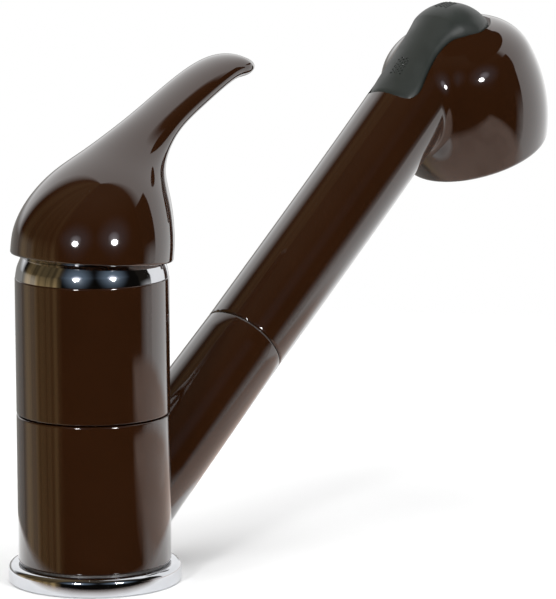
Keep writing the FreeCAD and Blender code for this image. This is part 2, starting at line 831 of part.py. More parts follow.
def make_lever_handle():
    """The cap and its swept lever: smooth through its sections, hollowed over the dome."""
    loft = doc.addObject("Part::Feature", "lever_outside")
    loft.Shape = lever_outside()
    loft.setExpression("Placement", upright(S.pivot_height))
    cavity = sphere("cap_cavity", S.cap_cavity_radius, upright(S.pivot_height))
    pocket_outer = cylinder("cap_pocket_outer", S.cap_pocket_radius, S.cap_pocket_reach, on_lean(0))
    pocket_hub = cylinder("cap_pocket_hub", S.hub_radius, S.cap_pocket_reach * 2, on_lean(0))
    pocket = cut("cap_pocket", pocket_outer, pocket_hub)
    half = S.spindle_width / 2 + S.spindle_clearance / 2
    x = -half * cosine(S.lean_angle)
    z = S.pivot_height + half * sine(S.lean_angle)
    length = S.spindle_length + S.spindle_clearance
    socket = box("spindle_socket", half * 2, half * 2, length, place(x, -half, z, 0, S.lean_angle))
    grub_hole = cylinder("grub_hole", S.grub_radius, S.plug_outer, across_lean(S.grub_reach, half))
    frame = across_lean(S.grub_reach, S.plug_inner)
    plug_hole = cylinder("plug_hole", S.plug_radius + S.plug_clearance, S.plug_outer, frame)
    keep("lever_handle", cut("lever_handle", loft, cavity, pocket, socket, grub_hole, plug_hole))
    frame = across_lean(S.grub_reach, S.spindle_width / 2)
    keep("grub_screw", cylinder("grub_screw", S.grub_radius, S.grub_length, frame))
    frame = across_lean(S.grub_reach, S.plug_inner)
    keep("index_plug", cylinder("index_plug", S.plug_radius, S.plug_outer - S.plug_inner, frame))


def pad_shape(name, shrink):
    """The rocker's rounded back, drawn in by a shrink."""
    length = S.elbow_distance - S.pad_start
    slant = Size(math.degrees(math.atan(S.elbow_rise.value / length.value)),
                 f"atan({(S.elbow_rise / length).text}) / 1 deg")
    start = S.pad_start - S.pad_radius
    frame = on_spout_slanted(start, slant)
    run = (length + S.pad_radius) / cosine(slant)
    growth = (S.pad_radius - S.pad_start_radius) / length
    first = S.pad_start_radius - growth * S.pad_radius - shrink
    back = cone(name + "_back", first, S.pad_radius - shrink, run, frame)
    ball = sphere(name + "_ball", S.pad_radius - shrink, on_spout(S.elbow_distance, S.elbow_rise))
    return fuse(name, back, ball)


def on_spout_slanted(start, slant):
    """Along a line that rises from the spout's axis so that it reaches the elbow's middle."""
    rise = (start - S.pad_start) * S.elbow_rise / (S.elbow_distance - S.pad_start)
    forward = start * cosine(S.spout_angle) - rise * sine(S.spout_angle)
    height = S.spout_root_height + start * sine(S.spout_angle) + rise * cosine(S.spout_angle)
    return place(forward, 0, height, 0, 90 - S.spout_angle - slant)


def pad_prism(name, margin):
    """An upright prism over the pad's smooth plan outline, widened all round by a margin."""
    count = len(PAD_PLAN)
    right = [(getattr(S, f"pad_forward_no{n}").value, -getattr(S, f"pad_half_width_no{n}").value)
             for n in range(count)]
    left = [(forward, -side) for forward, side in reversed(right[1:-1])]
    spots = [FreeCAD.Vector(forward, side, 0) for forward, side in right + left]
    widened = []
    for number, spot in enumerate(spots):
        along = spots[(number + 1) % len(spots)] - spots[number - 1]
        outward = FreeCAD.Vector(along.y, -along.x, 0).normalize()
        widened.append(spot + outward * as_size(margin).value)
    outline = Part.BSplineCurve()
    outline.interpolate(Points=widened, PeriodicFlag=True)
    face = Part.Face(Part.Wire([outline.toShape()]))
    prism = doc.addObject("Part::Feature", name)
    prism.Shape = face.extrude(FreeCAD.Vector(0, 0, (elbow_height * 2).value))
    prism.setExpression("Placement", upright(0))
    return prism


def make_handset_shell():
    """The pull-out length of the spout, its bend and the bell of the spray head in one shell."""
    length = S.elbow_distance - S.handset_start
    tube = cone("handset_tube", S.handset_radius, S.elbow_radius, length, on_spout(S.handset_start))
    elbow = sphere("handset_elbow", S.elbow_radius, on_spout(S.elbow_distance, S.elbow_rise))
    bulge = S.belly_radius - S.rim_radius
    flank = (S.belly_height * S.belly_height + bulge * bulge) / (bulge * 2)
    flank_x = S.belly_radius - flank
    lean = S.shoulder_rise / flank
    across = root(1 - lean * lean)
    shoulder = (flank_x + flank * across, S.belly_height + S.shoulder_rise)
    crown_x = flank_x + (flank - S.crown_radius) * across
    crown_z = S.belly_height + (flank - S.crown_radius) * lean + S.crown_radius
    points = [(0, 0), (S.rim_radius, 0), shoulder, (crown_x, crown_z), (0, crown_z)]
    bell = revolved("bell", points, {1: flank, 2: S.crown_radius}, on_outlet(0))
    outside = fuse("handset_outside", tube, elbow, bell)
    prism = pad_prism("recess_prism", S.pad_edge_gap)
    footprint = common("recess_footprint", prism, above_axis("recess_side", S.pad_gap))
    recess = cut("pad_recess", footprint, pad_shape("recess_floor", S.pad_thickness + S.pad_gap))
    well_half = S.lug_length / 2 + S.lug_clearance
    well_side = S.lug_width / 2 + S.lug_clearance
    drop = S.rocker_pin_radius * 2 + S.lug_clearance
    frame = rocker_frame(-well_half, -well_side, -drop)
    well = box("lug_well", well_half * 2, well_side * 2, S.elbow_radius, frame)
    pin_hole = cylinder("rocker_pin_hole", S.rocker_pin_radius, S.rocker_pin_length, rocker_cross())
    journal_bore = cylinder("journal_bore", S.journal_radius + S.journal_clearance,
                            S.journal_length + S.journal_clearance, on_spout(S.handset_start))
    clip_groove = cylinder("clip_groove", S.journal_radius + S.clip_groove_depth, S.clip_thickness,
                           on_spout(S.handset_start + S.clip_distance))
    waterway_length = S.waterway_end - S.handset_start
    waterway = cylinder("waterway", S.waterway_radius, waterway_length, on_spout(S.handset_start))
    cavity_radius = S.rim_radius - S.rim_wall
    cavity = cylinder("head_cavity", cavity_radius, S.head_cavity, on_outlet(0))
    frame = on_outlet(S.head_cavity / 2, -cavity_radius / 2)
    passage = cylinder("head_passage", S.head_passage_radius, S.head_passage_length, frame)
    keep("handset_shell", cut("handset_shell", outside, recess, well, pin_hole, journal_bore, clip_groove,
                              waterway, cavity, passage))


def rocker_point():
    distance = S.rocker_distance
    rise = S.rocker_rise
    forward = distance * cosine(S.spout_angle) - rise * sine(S.spout_angle)
    height = S.spout_root_height + distance * sine(S.spout_angle) + rise * cosine(S.spout_angle)
    return forward, height


def rocker_frame(along, side, rise):
    """A frame at the rocker's pin, level along the spout, for a box's low corner."""
    along = as_size(along)
    rise = as_size(rise)
    forward, height = rocker_point()
    x = forward + along * cosine(S.spout_angle) - rise * sine(S.spout_angle)
    z = height + along * sine(S.spout_angle) + rise * cosine(S.spout_angle)
    return place(x, side, z, 0, -S.spout_angle)


def above_axis(name, drop):
    """Everything near the bend over a level that lies a drop below the spout's axis."""
    reach = S.belly_radius * 2
    return box(name, reach * 2, reach * 2, reach, rocker_frame(-reach, -reach, -S.rocker_rise - drop))


def rocker_cross():
    return crosswise(rocker_point(), S.rocker_pin_length / 2)


def make_rocker():
    """The soft pad over the bend, with the lug that rocks on a cross pin."""
    skin = cut("pad_skin", pad_shape("pad_outside", 0), pad_shape("pad_inside", S.pad_thickness))
    footprint = common("pad_footprint", pad_prism("pad_prism_tight", 0), above_axis("pad_side", 0))
    top = common("pad_top", skin, footprint)
    half = S.lug_length / 2
    side = S.lug_width / 2
    share = (S.rocker_distance - S.pad_start) / (S.elbow_distance - S.pad_start)
    pad_middle = S.pad_start_radius + (S.pad_radius - S.pad_start_radius + S.elbow_rise) * share
    stem_top = pad_middle - S.pad_thickness / 2 - S.rocker_rise
    stem_base = S.rocker_pin_radius * 2
    frame = rocker_frame(-half, -side, -stem_base)
    stem = box("rocker_stem", S.lug_length, S.lug_width, stem_top + stem_base, frame)
    hole_radius = S.rocker_pin_radius + S.pin_clearance
    hole = cylinder("rocker_lug_hole", hole_radius, S.rocker_pin_length, rocker_cross())
    keep("rocker_pad", cut("rocker_pad", fuse("rocker_outside", top, stem), hole))
    keep("rocker_pin", cylinder("rocker_pin", S.rocker_pin_radius, S.rocker_pin_length, rocker_cross()))


def make_swivel_connector():
    """The shank that stays on the hose: thread, docking plug and the journal that the handset turns on."""
    thread_start = S.plug_start - S.hose_thread_length
    thread = cylinder("hose_thread", S.hose_thread_radius, S.hose_thread_length, on_spout(thread_start))
    plug_radius = S.spout_bore - S.dock_clearance / 2
    plug = cylinder("dock_plug", plug_radius, S.handset_start - S.plug_start, on_spout(S.plug_start))
    journal = cylinder("journal", S.journal_radius, S.journal_length, on_spout(S.handset_start))
    length = S.hose_thread_length + S.journal_length + S.handset_start - S.plug_start
    bore = cylinder("connector_bore", S.connector_bore, length, on_spout(thread_start))
    grooves = []
    for name, distance, height in (("clip_seat", S.clip_distance, S.clip_thickness),
                                   ("oring_seat", S.oring_distance, S.clip_thickness)):
        frame = on_spout(S.handset_start + distance)
        outer = S.journal_radius + S.clip_groove_depth
        grooves.append(ring(name, outer, S.journal_radius - S.clip_groove_depth, height, frame))
    outside = fuse("connector_outside", thread, plug, journal)
    keep("hose_connector", cut("hose_connector", outside, bore, *grooves))
    frame = on_spout(S.handset_start + S.clip_distance + S.clip_clearance)
    clip_outer = S.journal_radius + S.clip_groove_depth
    clip_inner = S.journal_radius - S.clip_groove_depth + S.clip_clearance
    clip_height = S.clip_thickness - S.clip_clearance * 2
    keep("retaining_clip", ring("retaining_clip", clip_outer, clip_inner, clip_height, frame))
    section = (S.clip_groove_depth + S.journal_clearance / 2) / 2
    middle = S.journal_radius - S.clip_groove_depth + section
    frame = on_spout(S.handset_start + S.oring_distance + S.clip_thickness / 2)
    keep("connector_seal", torus("connector_seal", middle, section, frame))
    frame = on_spout(S.plug_start)
    body = cylinder("valve_body", S.valve_radius, S.valve_length, frame)
    bore = cylinder("valve_bore", S.valve_radius / 2, S.valve_length, frame)
    keep("check_valve", cut("check_valve", body, bore))


def nozzle_frames(reach):
    """Every nozzle's place on the face, in two rings."""
    for count, radius in zip(NOZZLE_COUNTS, (S.nozzle_ring_outer, S.nozzle_ring_inner)):
        for number in range(count):
            angle = 360.0 * number / count
            yield on_outlet(reach, radius * cosine(angle), radius * sine(angle))


def make_spray_face():
    cavity_radius = S.rim_radius - S.rim_wall
    outer = cavity_radius - S.face_clearance
    inner = S.aerator_radius + S.face_clearance
    frame = on_outlet(S.face_inset)
    plate = ring("face_plate", outer, inner, S.face_thickness, frame)
    holes = [cylinder(f"face_hole_{number}", S.nozzle_radius + S.nozzle_clearance, S.face_thickness, hole)
             for number, hole in enumerate(nozzle_frames(S.face_inset))]
    keep("spray_face", cut("spray_face", plate, *holes))
    membrane_start = S.face_inset + S.face_thickness
    sheet_ring = ring("membrane_sheet", outer, inner, S.membrane_thickness, on_outlet(membrane_start))
    start = S.face_inset - S.nozzle_proud
    height = S.face_thickness + S.nozzle_proud + S.membrane_thickness / 2
    tips = [cylinder(f"nozzle_{number}", S.nozzle_radius, height, tip)
            for number, tip in enumerate(nozzle_frames(start))]
    keep("nozzle_membrane", fuse("nozzle_membrane", sheet_ring, *tips))
    core_start = membrane_start + S.membrane_thickness
    core = cylinder("core_blank", outer, S.head_cavity - core_start, on_outlet(core_start))
    frame = on_outlet(S.head_cavity / 2, -cavity_radius / 2)
    inlet = cylinder("core_inlet", S.head_passage_radius, S.head_cavity, frame)
    seat = cylinder("core_seat", inner, S.aerator_height, on_outlet(S.face_inset))
    keep("water_chamber", cut("water_chamber", core, inlet, seat))


def make_aerator():
    start = on_outlet(S.face_inset)
    inner = S.aerator_radius - S.aerator_wall
    keep("aerator_housing", ring("aerator_housing", S.aerator_radius, inner, S.aerator_height, start))
    disc = cylinder("aerator_disc", inner, S.aerator_wall, on_outlet(S.face_inset + S.nozzle_proud))
    pitch = inner * 2 / (AERATOR_SLOT_COUNT + 1)
    reach = inner - S.aerator_margin
    slots = []
    for number in range(AERATOR_SLOT_COUNT):
        middle = pitch * (number + 1) - inner
        low = middle - S.aerator_slot / 2
        half = root(reach * reach - middle * middle)
        frame = on_outlet(S.face_inset, low, -half)
        slots.append(box(f"aerator_slot_{number}", S.aerator_slot, half * 2, S.aerator_height, frame))
    keep("aerator_insert", cut("aerator_insert", disc, *slots))


def check_and_write():
    doc.recompute()
    for thing in doc.Objects:
        if "Invalid" in thing.State or "Error" in thing.State:
            raise RuntimeError(f"{thing.Name} did not build: {thing.State}")
    os.makedirs("parts", exist_ok=True)
    for label, thing in parts.items():
        shape = thing.Shape
        if shape.isNull() or not shape.isValid():
            raise RuntimeError(f"{label} has no valid shape")
        if len(shape.Solids) != 1:
            raise RuntimeError(f"{label} has {len(shape.Solids)} solids")
        shape.exportStep(os.path.join("parts", label + ".step"))
        print(f"{label}: {shape.Volume / 1000:.2f} cm3")


make_mixer_body()
make_base_flange()
make_glide_rings()
make_swivel_spout()
make_cartridge_base()
make_discs()
make_cartridge_housing()
make_cartridge_rotor()
make_nut_and_dome()
make_spindle()
make_lever_handle()
make_handset_shell()
make_rocker()
make_swivel_connector()
make_spray_face()
make_aerator()
check_and_write()
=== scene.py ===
import json
import math

import bmesh
import bpy
import numpy as np
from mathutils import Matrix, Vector


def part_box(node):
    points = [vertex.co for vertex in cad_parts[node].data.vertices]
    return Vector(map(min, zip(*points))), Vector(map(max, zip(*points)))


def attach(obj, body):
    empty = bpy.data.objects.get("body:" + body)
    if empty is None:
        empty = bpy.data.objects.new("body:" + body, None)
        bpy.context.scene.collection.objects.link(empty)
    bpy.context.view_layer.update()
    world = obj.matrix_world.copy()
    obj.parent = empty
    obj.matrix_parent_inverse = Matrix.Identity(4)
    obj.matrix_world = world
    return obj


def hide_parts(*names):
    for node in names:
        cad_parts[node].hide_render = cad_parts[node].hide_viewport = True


bl_info = {
    "name": "Kitchen mixer tap dressing",
    "version": (1, 0, 0),
    "blender": (4, 5, 0),
    "location": "View3D > Sidebar > Tap",
    "description": "Dresses the packed mixer tap with lacquer, chrome, soft rubber and a plain studio",
    "category": "Object",
}

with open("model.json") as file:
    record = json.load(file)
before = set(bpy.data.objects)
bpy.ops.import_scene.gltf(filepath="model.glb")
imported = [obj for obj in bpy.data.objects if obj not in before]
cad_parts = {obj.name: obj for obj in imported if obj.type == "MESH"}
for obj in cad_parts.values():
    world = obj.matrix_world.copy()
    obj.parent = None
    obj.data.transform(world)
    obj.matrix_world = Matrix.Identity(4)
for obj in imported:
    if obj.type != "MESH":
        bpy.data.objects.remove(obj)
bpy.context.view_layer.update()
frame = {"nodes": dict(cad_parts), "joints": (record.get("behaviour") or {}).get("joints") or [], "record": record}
NODES = frame["nodes"]
MM = 0.001

# Places read from the frame
JOINTS = {joint["name"]: joint for joint in frame["joints"]}
MOUNTS = {mount["name"]: mount for mount in frame["record"]["mounts"]}
BODY_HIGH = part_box("mixer_body")[1]
FLANGE_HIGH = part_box("base_flange")[1]
SPOUT_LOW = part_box("swivel_spout")[0]
DOME_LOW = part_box("dome_cover")[0]
PIVOT = Vector(JOINTS["lever_lift"]["pos_m"])

# The spout's axis: its root, its way, the way at a right angle to it upwards, and across
ROOT = np.array(Vector(JOINTS["handset_turn"]["pos_m"]))
AXIS = np.array(Vector(JOINTS["pull_out"]["axis"]))
RISE = np.array((-AXIS[2], 0, AXIS[0]))
ACROSS = np.array((0.0, 1.0, 0.0))

# Where the fixed half of the body meets the turning half, and how far the floor lies under the deck
SPOUT_TOP = 55.2 * MM
FLOOR_DROP = -0.2 * MM

# How far the dim room reaches to the left and right of the camera, and how high the painted halo about the lamps
# is
CARD_LEFT = math.radians(134.0)
CARD_RIGHT = math.radians(86.0)
PAINTED_HALO_RISE = math.radians(24.0)

# The part of a noise's range that most of it lies in
MIDDLE = (0.3, 0.7)

# The record's material slot of every CAD node, and the nodes that scene.py makes anew
KEPT = {node["node"]: node["material_slot"] for node in frame["record"]["subparts"]}
REMADE = ("mixer_body", "base_flange", "dome_cover", "swivel_spout", "lever_handle", "handset_shell",
          "rocker_pad")
FINISHES = {}

# The lever's sections from the cap's rim to the tip, in millimetres from its pivot: forward and
# rise of the back or top point, forward and rise of the front or under point, and half width.
LEVER_SECTIONS = (
    (-26.3, 13.6, 26.3, 9.0, 26.4),
    (-25.3, 20.5, 27.0, 13.5, 26.2),
    (-21.8, 27.8, 27.4, 18.5, 25.0),
    (-16.0, 34.5, 27.6, 23.0, 22.8),
    (-8.0, 40.5, 27.6, 27.5, 19.6),
    (2.0, 45.6, 27.5, 32.5, 15.4),
    (14.0, 51.4, 28.2, 38.5, 11.8),
    (27.0, 57.5, 34.5, 47.6, 9.9),
    (41.2, 64.6, 46.5, 55.2, 9.4),
    (53.6, 69.8, 58.3, 61.3, 9.1),
    (61.8, 71.6, 64.8, 63.4, 8.7),
    (66.8, 71.3, 68.9, 63.9, 8.0),
    (69.6, 70.3, 70.9, 64.6, 6.4),
)

# Grid step of the pad's skin and of its recess
PAD_STEP = 0.4 * MM

# Plan outline of the rocker pad, in millimetres: forward place and half width.
PAD_PLAN = (
    (141.6, 0.0),
    (142.2, 5.2),
    (144.4, 8.9),
    (148.5, 10.3),
    (154.0, 9.4),
    (160.0, 8.9),
    (166.0, 9.9),
    (171.5, 12.2),
    (177.5, 13.7),
    (184.0, 11.8),
    (189.0, 7.0),
    (190.8, 0.0),
)


def length(name, default, text):
    """A length in metres as a property."""
    return bpy.props.FloatProperty(name=name, default=default, description=text, unit="LENGTH", precision=5)


def angle(name, degrees, text):
    """An angle as a property, given in degrees."""
    return bpy.props.FloatProperty(name=name, default=math.radians(degrees), description=text,
                                   subtype="ANGLE")


def paint(name, code, text):
    """A colour property, written as an sRGB hex value and kept linear."""
    return bpy.props.FloatVectorProperty(name=name, default=linear(code), size=3, subtype="COLOR",
                                         min=0.0, max=1.0, description=text)


def linear(code):
    """An sRGB hex value as linear red, green and blue."""
    channels = [int(code[start:start + 2], 16) / 255 for start in (0, 2, 4)]
    return tuple(c / 12.92 if c <= 0.04045 else ((c + 0.055) / 1.055) ** 2.4 for c in channels)


# Settings

class TapFinish(bpy.types.PropertyGroup):
    lacquer: paint("Lacquer", "261307", "Dark chocolate brown of the lacquered castings")
    chrome: paint("Chrome", "DADCE0", "Polished chrome of the flange and the dome")
    soft_rubber: paint("Soft rubber", "252926", "Dark grey of the rocker pad")
    dot_rubber: paint("Dots", "121414", "Darker grey of the raised grip dots")
    face_plastic: paint("Spray face", "26272A", "Moulded plastic of the spray face and aerator")
    silicone: paint("Silicone", "595C61", "Grey silicone of the nozzles")
    acetal: paint("Acetal", "4A4745", "Dark acetal of rings, collar and inserts")
    cartridge: paint("Cartridge", "585B60", "Grey moulded plastic of the cartridge")
    brass: paint("Brass", "D8B56A", "Turned brass of the nut and the hose connector")
    steel: paint("Steel", "B9BABC", "Bare stainless steel of pins, clip and spindle")
    ceramic: paint("Ceramic", "EDEBE4", "Lapped ceramic of the discs")
    seal: paint("Seal", "141414", "Black sealing rubber")


class TapForm(bpy.types.PropertyGroup):
    edge_round: length("Edge rounding", 0.6 * MM, "Rounding on the rims of the turned castings")
    seam_gap: length("Seam gap", 0.4 * MM, "Width of the groove between the two halves of the body")
    flange_bevel: length("Flange rounding", 2.0 * MM, "Rounding on the top edge of the base flange")
    spout_root_radius: length("Spout root radius", 15.85 * MM, "Radius of the spout where it leaves the body")
    spout_mouth_radius: length("Spout mouth radius", 14.46 * MM, "Radius of the fixed spout at its seam")
    spout_length: length("Spout length", 91.7 * MM, "Length of the fixed spout along its axis")
    spout_bore: length("Spout bore", 11.0 * MM, "Radius of the way for the hose")
    collar_bore: length("Collar bore", 12.4 * MM, "Radius of the seat for the docking collar")
    handset_start: length("Handset start", 92.1 * MM, "Distance along the spout where the handset begins")
    elbow_distance: length("Elbow distance", 230.6 * MM, "Distance along the spout of the middle of the bend")
    elbow_rise: length("Elbow rise", 1.9 * MM, "How far the bend's middle lies over the spout's axis")
    elbow_radius: length("Elbow radius", 14.7 * MM, "Radius of the bend")
    bell_forward: length("Bell forward", 191.8 * MM, "Forward place of the middle of the bell's rim")
    bell_height: length("Bell height", 120.7 * MM, "Height of the middle of the bell's rim")
    bell_tilt: angle("Bell tilt", 20.8, "Tilt of the bell's axis from the vertical")
    rim_radius: length("Rim radius", 24.9 * MM, "Radius of the bell's rim")
    belly_radius: length("Belly radius", 28.6 * MM, "Greatest radius of the bell")
    belly_height: length("Belly height", 20.0 * MM, "Height of the bell's greatest radius over its rim")
    crown_radius: length("Crown radius", 17.0 * MM, "Rounding of the bell's crown")
    rim_wall: length("Rim wall", 2.6 * MM, "Thickness of the bell's rim")
    bell_depth: length("Bell depth", 17.0 * MM, "Depth of the bell's hollow over its rim")
    blend: length("Blend", 3.0 * MM, "Softness of the meeting of tube and bell")
    pad_start: length("Pad start", 196.0 * MM, "Distance along the spout where the pad's back is measured")
    pad_start_radius: length("Pad start radius", 15.0 * MM, "Radius of the pad's back at its start")
    pad_radius: length("Pad radius", 16.0 * MM, "Radius of the pad over the bend")
    pad_thickness: length("Pad thickness", 2.4 * MM, "Thickness of the soft pad")
    pad_gap: length("Pad gap", 1.2 * MM, "Room under the pad for it to rock")
    pad_edge_gap: length("Pad edge gap", 0.5 * MM, "Gap round the pad's outline")
    pad_floor_gap: length("Pad floor gap", 0.9 * MM, "Gap past the pad's lower rims, which swing")
    pad_floor: length("Pad floor", 3.0 * MM, "How far over the spout's axis the pad ends")
    dot_radius: length("Dot radius", 0.38 * MM, "Radius of the raised grip dots")
    dot_pitch: length("Dot pitch", 1.05 * MM, "Distance between the raised grip dots")
    cap_cavity: length("Cap cavity", 26.0 * MM, "Radius of the hollow under the lever's cap")


class TapStudio(bpy.types.PropertyGroup):
    camera_place: bpy.props.FloatVectorProperty(name="Camera place", default=(-1.0086, -1.0210, 0.3432),
                                                size=3, subtype="TRANSLATION",
                                                description="Where the camera stands")
    camera_azimuth: angle("Azimuth", -47.05, "Direction the camera looks in plan, from +Y")
    camera_drop: angle("Drop", 9.93, "How far the camera looks down")
    camera_roll: angle("Roll", 0.23, "Roll of the camera")
    lens: bpy.props.FloatProperty(name="Lens", default=270.45, unit="CAMERA",
                                  description="Focal length on a 36 mm long side")
    lamp_turn: angle("Lamp turn", 6.5, "How far the pair of lamps stands to the camera's right")
    lamp_spread: angle("Lamp spread", 28.5, "Angle of each lamp to the side of the pair's middle")
    lamp_height: length("Lamp height", 0.52, "Height of the two small lamps")
    lamp_distance: length("Lamp distance", 1.40, "Distance of the two small lamps")
    lamp_size: length("Lamp size", 0.20, "Diameter of the two small lamps")


# Shader helpers

def add_node(tree, kind, links=(), **settings):
    """Adds one node, sets its fields or inputs by name and links its inputs, each to an output or to
    the first output of a node."""
    node = tree.nodes.new(kind)
    for name, value in settings.items():
        if hasattr(node, name):
            setattr(node, name, value)
        else:
            node.inputs[name.replace("_", " ")].default_value = value
    for socket, source in links:
        if isinstance(source, bpy.types.Node):
            source = source.outputs[0]
        tree.links.new(source, node.inputs[socket])
    return node


def blank_material(name):
    """An empty material: itself, its nodes, the socket for its surface and its object coordinates."""
    material = bpy.data.materials.new(name)
    material.use_nodes = True
    tree = material.node_tree
    tree.nodes.clear()
    surface = add_node(tree, "ShaderNodeOutputMaterial").inputs["Surface"]
    return material, tree, surface, add_node(tree, "ShaderNodeTexCoord").outputs["Object"]


def new_material(name):
    """A material with its shader and its object coordinates."""
    material, tree, surface, place = blank_material(name)
    shader = add_node(tree, "ShaderNodeBsdfPrincipled")
    tree.links.new(shader.outputs["BSDF"], surface)
    return material, tree, shader, place


def set_shader(shader, **values):
    """Sets the shader's inputs by name, with _ for a space."""
    for name, value in values.items():
        shader.inputs[name.replace("_", " ")].default_value = value


def darker(colour, share):
    """A colour at a share of its strength."""
    return tuple(channel * share for channel in colour)


def coat(tree, shader, tone, colours, haze, roughness, tone_span=MIDDLE, haze_span=MIDDLE):
    """Leads the shader from one colour to another by one pattern, and its roughness by another."""
    share = add_node(tree, "ShaderNodeMapRange", [("Value", tone)],
                     From_Min=tone_span[0], From_Max=tone_span[1])
    colour = add_node(tree, "ShaderNodeMix", [("Factor", share)], data_type="RGBA",
                      A=(*colours[0], 1), B=(*colours[1], 1))
    rough = add_node(tree, "ShaderNodeMapRange", [("Value", haze)], From_Min=haze_span[0],
                     From_Max=haze_span[1], To_Min=roughness[0], To_Max=roughness[1])
    tree.links.new(colour.outputs["Result"], shader.inputs["Base Color"])
    tree.links.new(rough.outputs["Result"], shader.inputs["Roughness"])


# Finishes

def brown_lacquer(finish):
    """Baked gloss lacquer on cast brass: deep, even colour under a hard clear coat, with the faint
    orange peel that spraying leaves and a little haze where it is wiped."""
    cloud_size, haze_size, peel_size, peel_depth = 18 * MM, 9 * MM, 2.2 * MM, 0.006 * MM
    material, tree, shader, place = new_material("baked_gloss_lacquer")
    cloud = add_node(tree, "ShaderNodeTexNoise", [("Vector", place)], Scale=1 / cloud_size, Detail=2.0)
    haze = add_node(tree, "ShaderNodeTexNoise", [("Vector", place)], Scale=1 / haze_size, Detail=4.0)
    coat(tree, shader, cloud, (darker(finish.lacquer, 0.92), finish.lacquer), haze, (0.05, 0.085))
    set_shader(shader, IOR=1.52, Coat_Weight=1.0, Coat_Roughness=0.02)
    peel = add_node(tree, "ShaderNodeTexNoise", [("Vector", place)], Scale=1 / peel_size, Detail=1.0)
    raised = add_node(tree, "ShaderNodeBump", [("Height", peel)], Strength=1.0, Distance=peel_depth)
    tree.links.new(raised.outputs["Normal"], shader.inputs["Normal"])
    return material


def polished_chrome(finish):
    """Bright chrome plate on polished brass: mirror sharp, with faint wiping haze and water marks."""
    mark_size = 6 * MM
    material, tree, shader, place = new_material("polished_chrome_plate")
    set_shader(shader, Metallic=1.0)
    marks = add_node(tree, "ShaderNodeTexNoise", [("Vector", place)], Scale=1 / mark_size, Detail=5.0)
    coat(tree, shader, marks, (finish.chrome, darker(finish.chrome, 0.93)), marks, (0.05, 0.10),
         tone_span=(0.4, 0.8), haze_span=(0.45, 0.75))
    return material


def soft_touch_rubber(finish):
    """Moulded soft-touch rubber: dark grey with a dull sheen and a fine eroded grain."""
    blotch_size, grain_size, grain_depth = 7 * MM, 0.35 * MM, 0.03 * MM
    material, tree, shader, place = new_material("soft_touch_rubber")
    blotch = add_node(tree, "ShaderNodeTexNoise", [("Vector", place)], Scale=1 / blotch_size, Detail=3.0)
    coat(tree, shader, blotch, (darker(finish.soft_rubber, 0.82), finish.soft_rubber), blotch, (0.36, 0.48))
    set_shader(shader, IOR=1.50, Sheen_Weight=0.05, Sheen_Roughness=0.4)
    grain = add_node(tree, "ShaderNodeTexNoise", [("Vector", place)], Scale=1 / grain_size, Detail=2.0)
    raised = add_node(tree, "ShaderNodeBump", [("Height", grain)], Strength=0.6, Distance=grain_depth)
    tree.links.new(raised.outputs["Normal"], shader.inputs["Normal"])
    return material


def dot_rubber(finish):
    """The same rubber in the raised grip dots, worn a little shinier by fingers."""
    wear_size = 2 * MM
    material, tree, shader, place = new_material("raised_dot_rubber")
    wear = add_node(tree, "ShaderNodeTexNoise", [("Vector", place)], Scale=1 / wear_size, Detail=2.0)
    coat(tree, shader, wear, (finish.dot_rubber, finish.soft_rubber), wear, (0.16, 0.28))
    set_shader(shader, IOR=1.50)
    return material


def moulded_plastic(name, colour, roughness):
    """Injection-moulded plastic with a fine spark-eroded texture and slight tone shifts."""
    shift_size, spark_size, spark_depth = 5 * MM, 0.25 * MM, 0.01 * MM
    material, tree, shader, place = new_material(name)
    shift = add_node(tree, "ShaderNodeTexNoise", [("Vector", place)], Scale=1 / shift_size, Detail=3.0)
    coat(tree, shader, shift, (darker(colour, 0.88), colour), shift, (roughness * 0.85, roughness * 1.15))
    set_shader(shader, IOR=1.49)
    sparks = add_node(tree, "ShaderNodeTexNoise", [("Vector", place)], Scale=1 / spark_size, Detail=1.0)
    raised = add_node(tree, "ShaderNodeBump", [("Height", sparks)], Strength=0.5, Distance=spark_depth)
    tree.links.new(raised.outputs["Normal"], shader.inputs["Normal"])
    return material


def turned_metal(name, colour, roughness, stretch):
    """Bare metal turned or drawn: fine lines along one way and a slightly uneven polish."""
    line_size, line_depth = 0.4 * MM, 0.004 * MM
    material, tree, shader, place = new_material(name)
    set_shader(shader, Metallic=1.0)
    drawn = add_node(tree, "ShaderNodeMapping", [("Vector", place)], Scale=stretch)
    lines = add_node(tree, "ShaderNodeTexNoise", [("Vector", drawn)], Scale=1 / line_size, Detail=3.0)
    coat(tree, shader, lines, (darker(colour, 0.86), colour), lines, (roughness * 0.7, roughness * 1.3))
    raised = add_node(tree, "ShaderNodeBump", [("Height", lines)], Strength=0.5, Distance=line_depth)
    tree.links.new(raised.outputs["Normal"], shader.inputs["Normal"])
    return material


def make_finishes(finish):
    """Every material by the record's slot."""
    rounds = (1.0, 1.0, 12.0)
    return {
        "lacquer": brown_lacquer(finish),
        "chrome": polished_chrome(finish),
        "soft_touch": soft_touch_rubber(finish),
        "dots": dot_rubber(finish),
        "face_plastic": moulded_plastic("moulded_spray_face", finish.face_plastic, 0.30),
        "nozzle_silicone": moulded_plastic("moulded_silicone", finish.silicone, 0.48),
        "acetal": moulded_plastic("dark_acetal", finish.acetal, 0.35),
        "cartridge_plastic": moulded_plastic("cartridge_plastic", finish.cartridge, 0.42),
        "chamber_plastic": moulded_plastic("chamber_plastic", darker(finish.cartridge, 0.45), 0.45),
        "index_plastic": moulded_plastic("index_plug_plastic", finish.lacquer, 0.12),
        "ceramic": moulded_plastic("lapped_ceramic", finish.ceramic, 0.10),
        "seal_rubber": moulded_plastic("sealing_rubber", finish.seal, 0.55),
        "brass": turned_metal("turned_brass", finish.brass, 0.22, rounds),
        "steel": turned_metal("drawn_stainless_steel", finish.steel, 0.20, rounds),
    }


# Mesh helpers

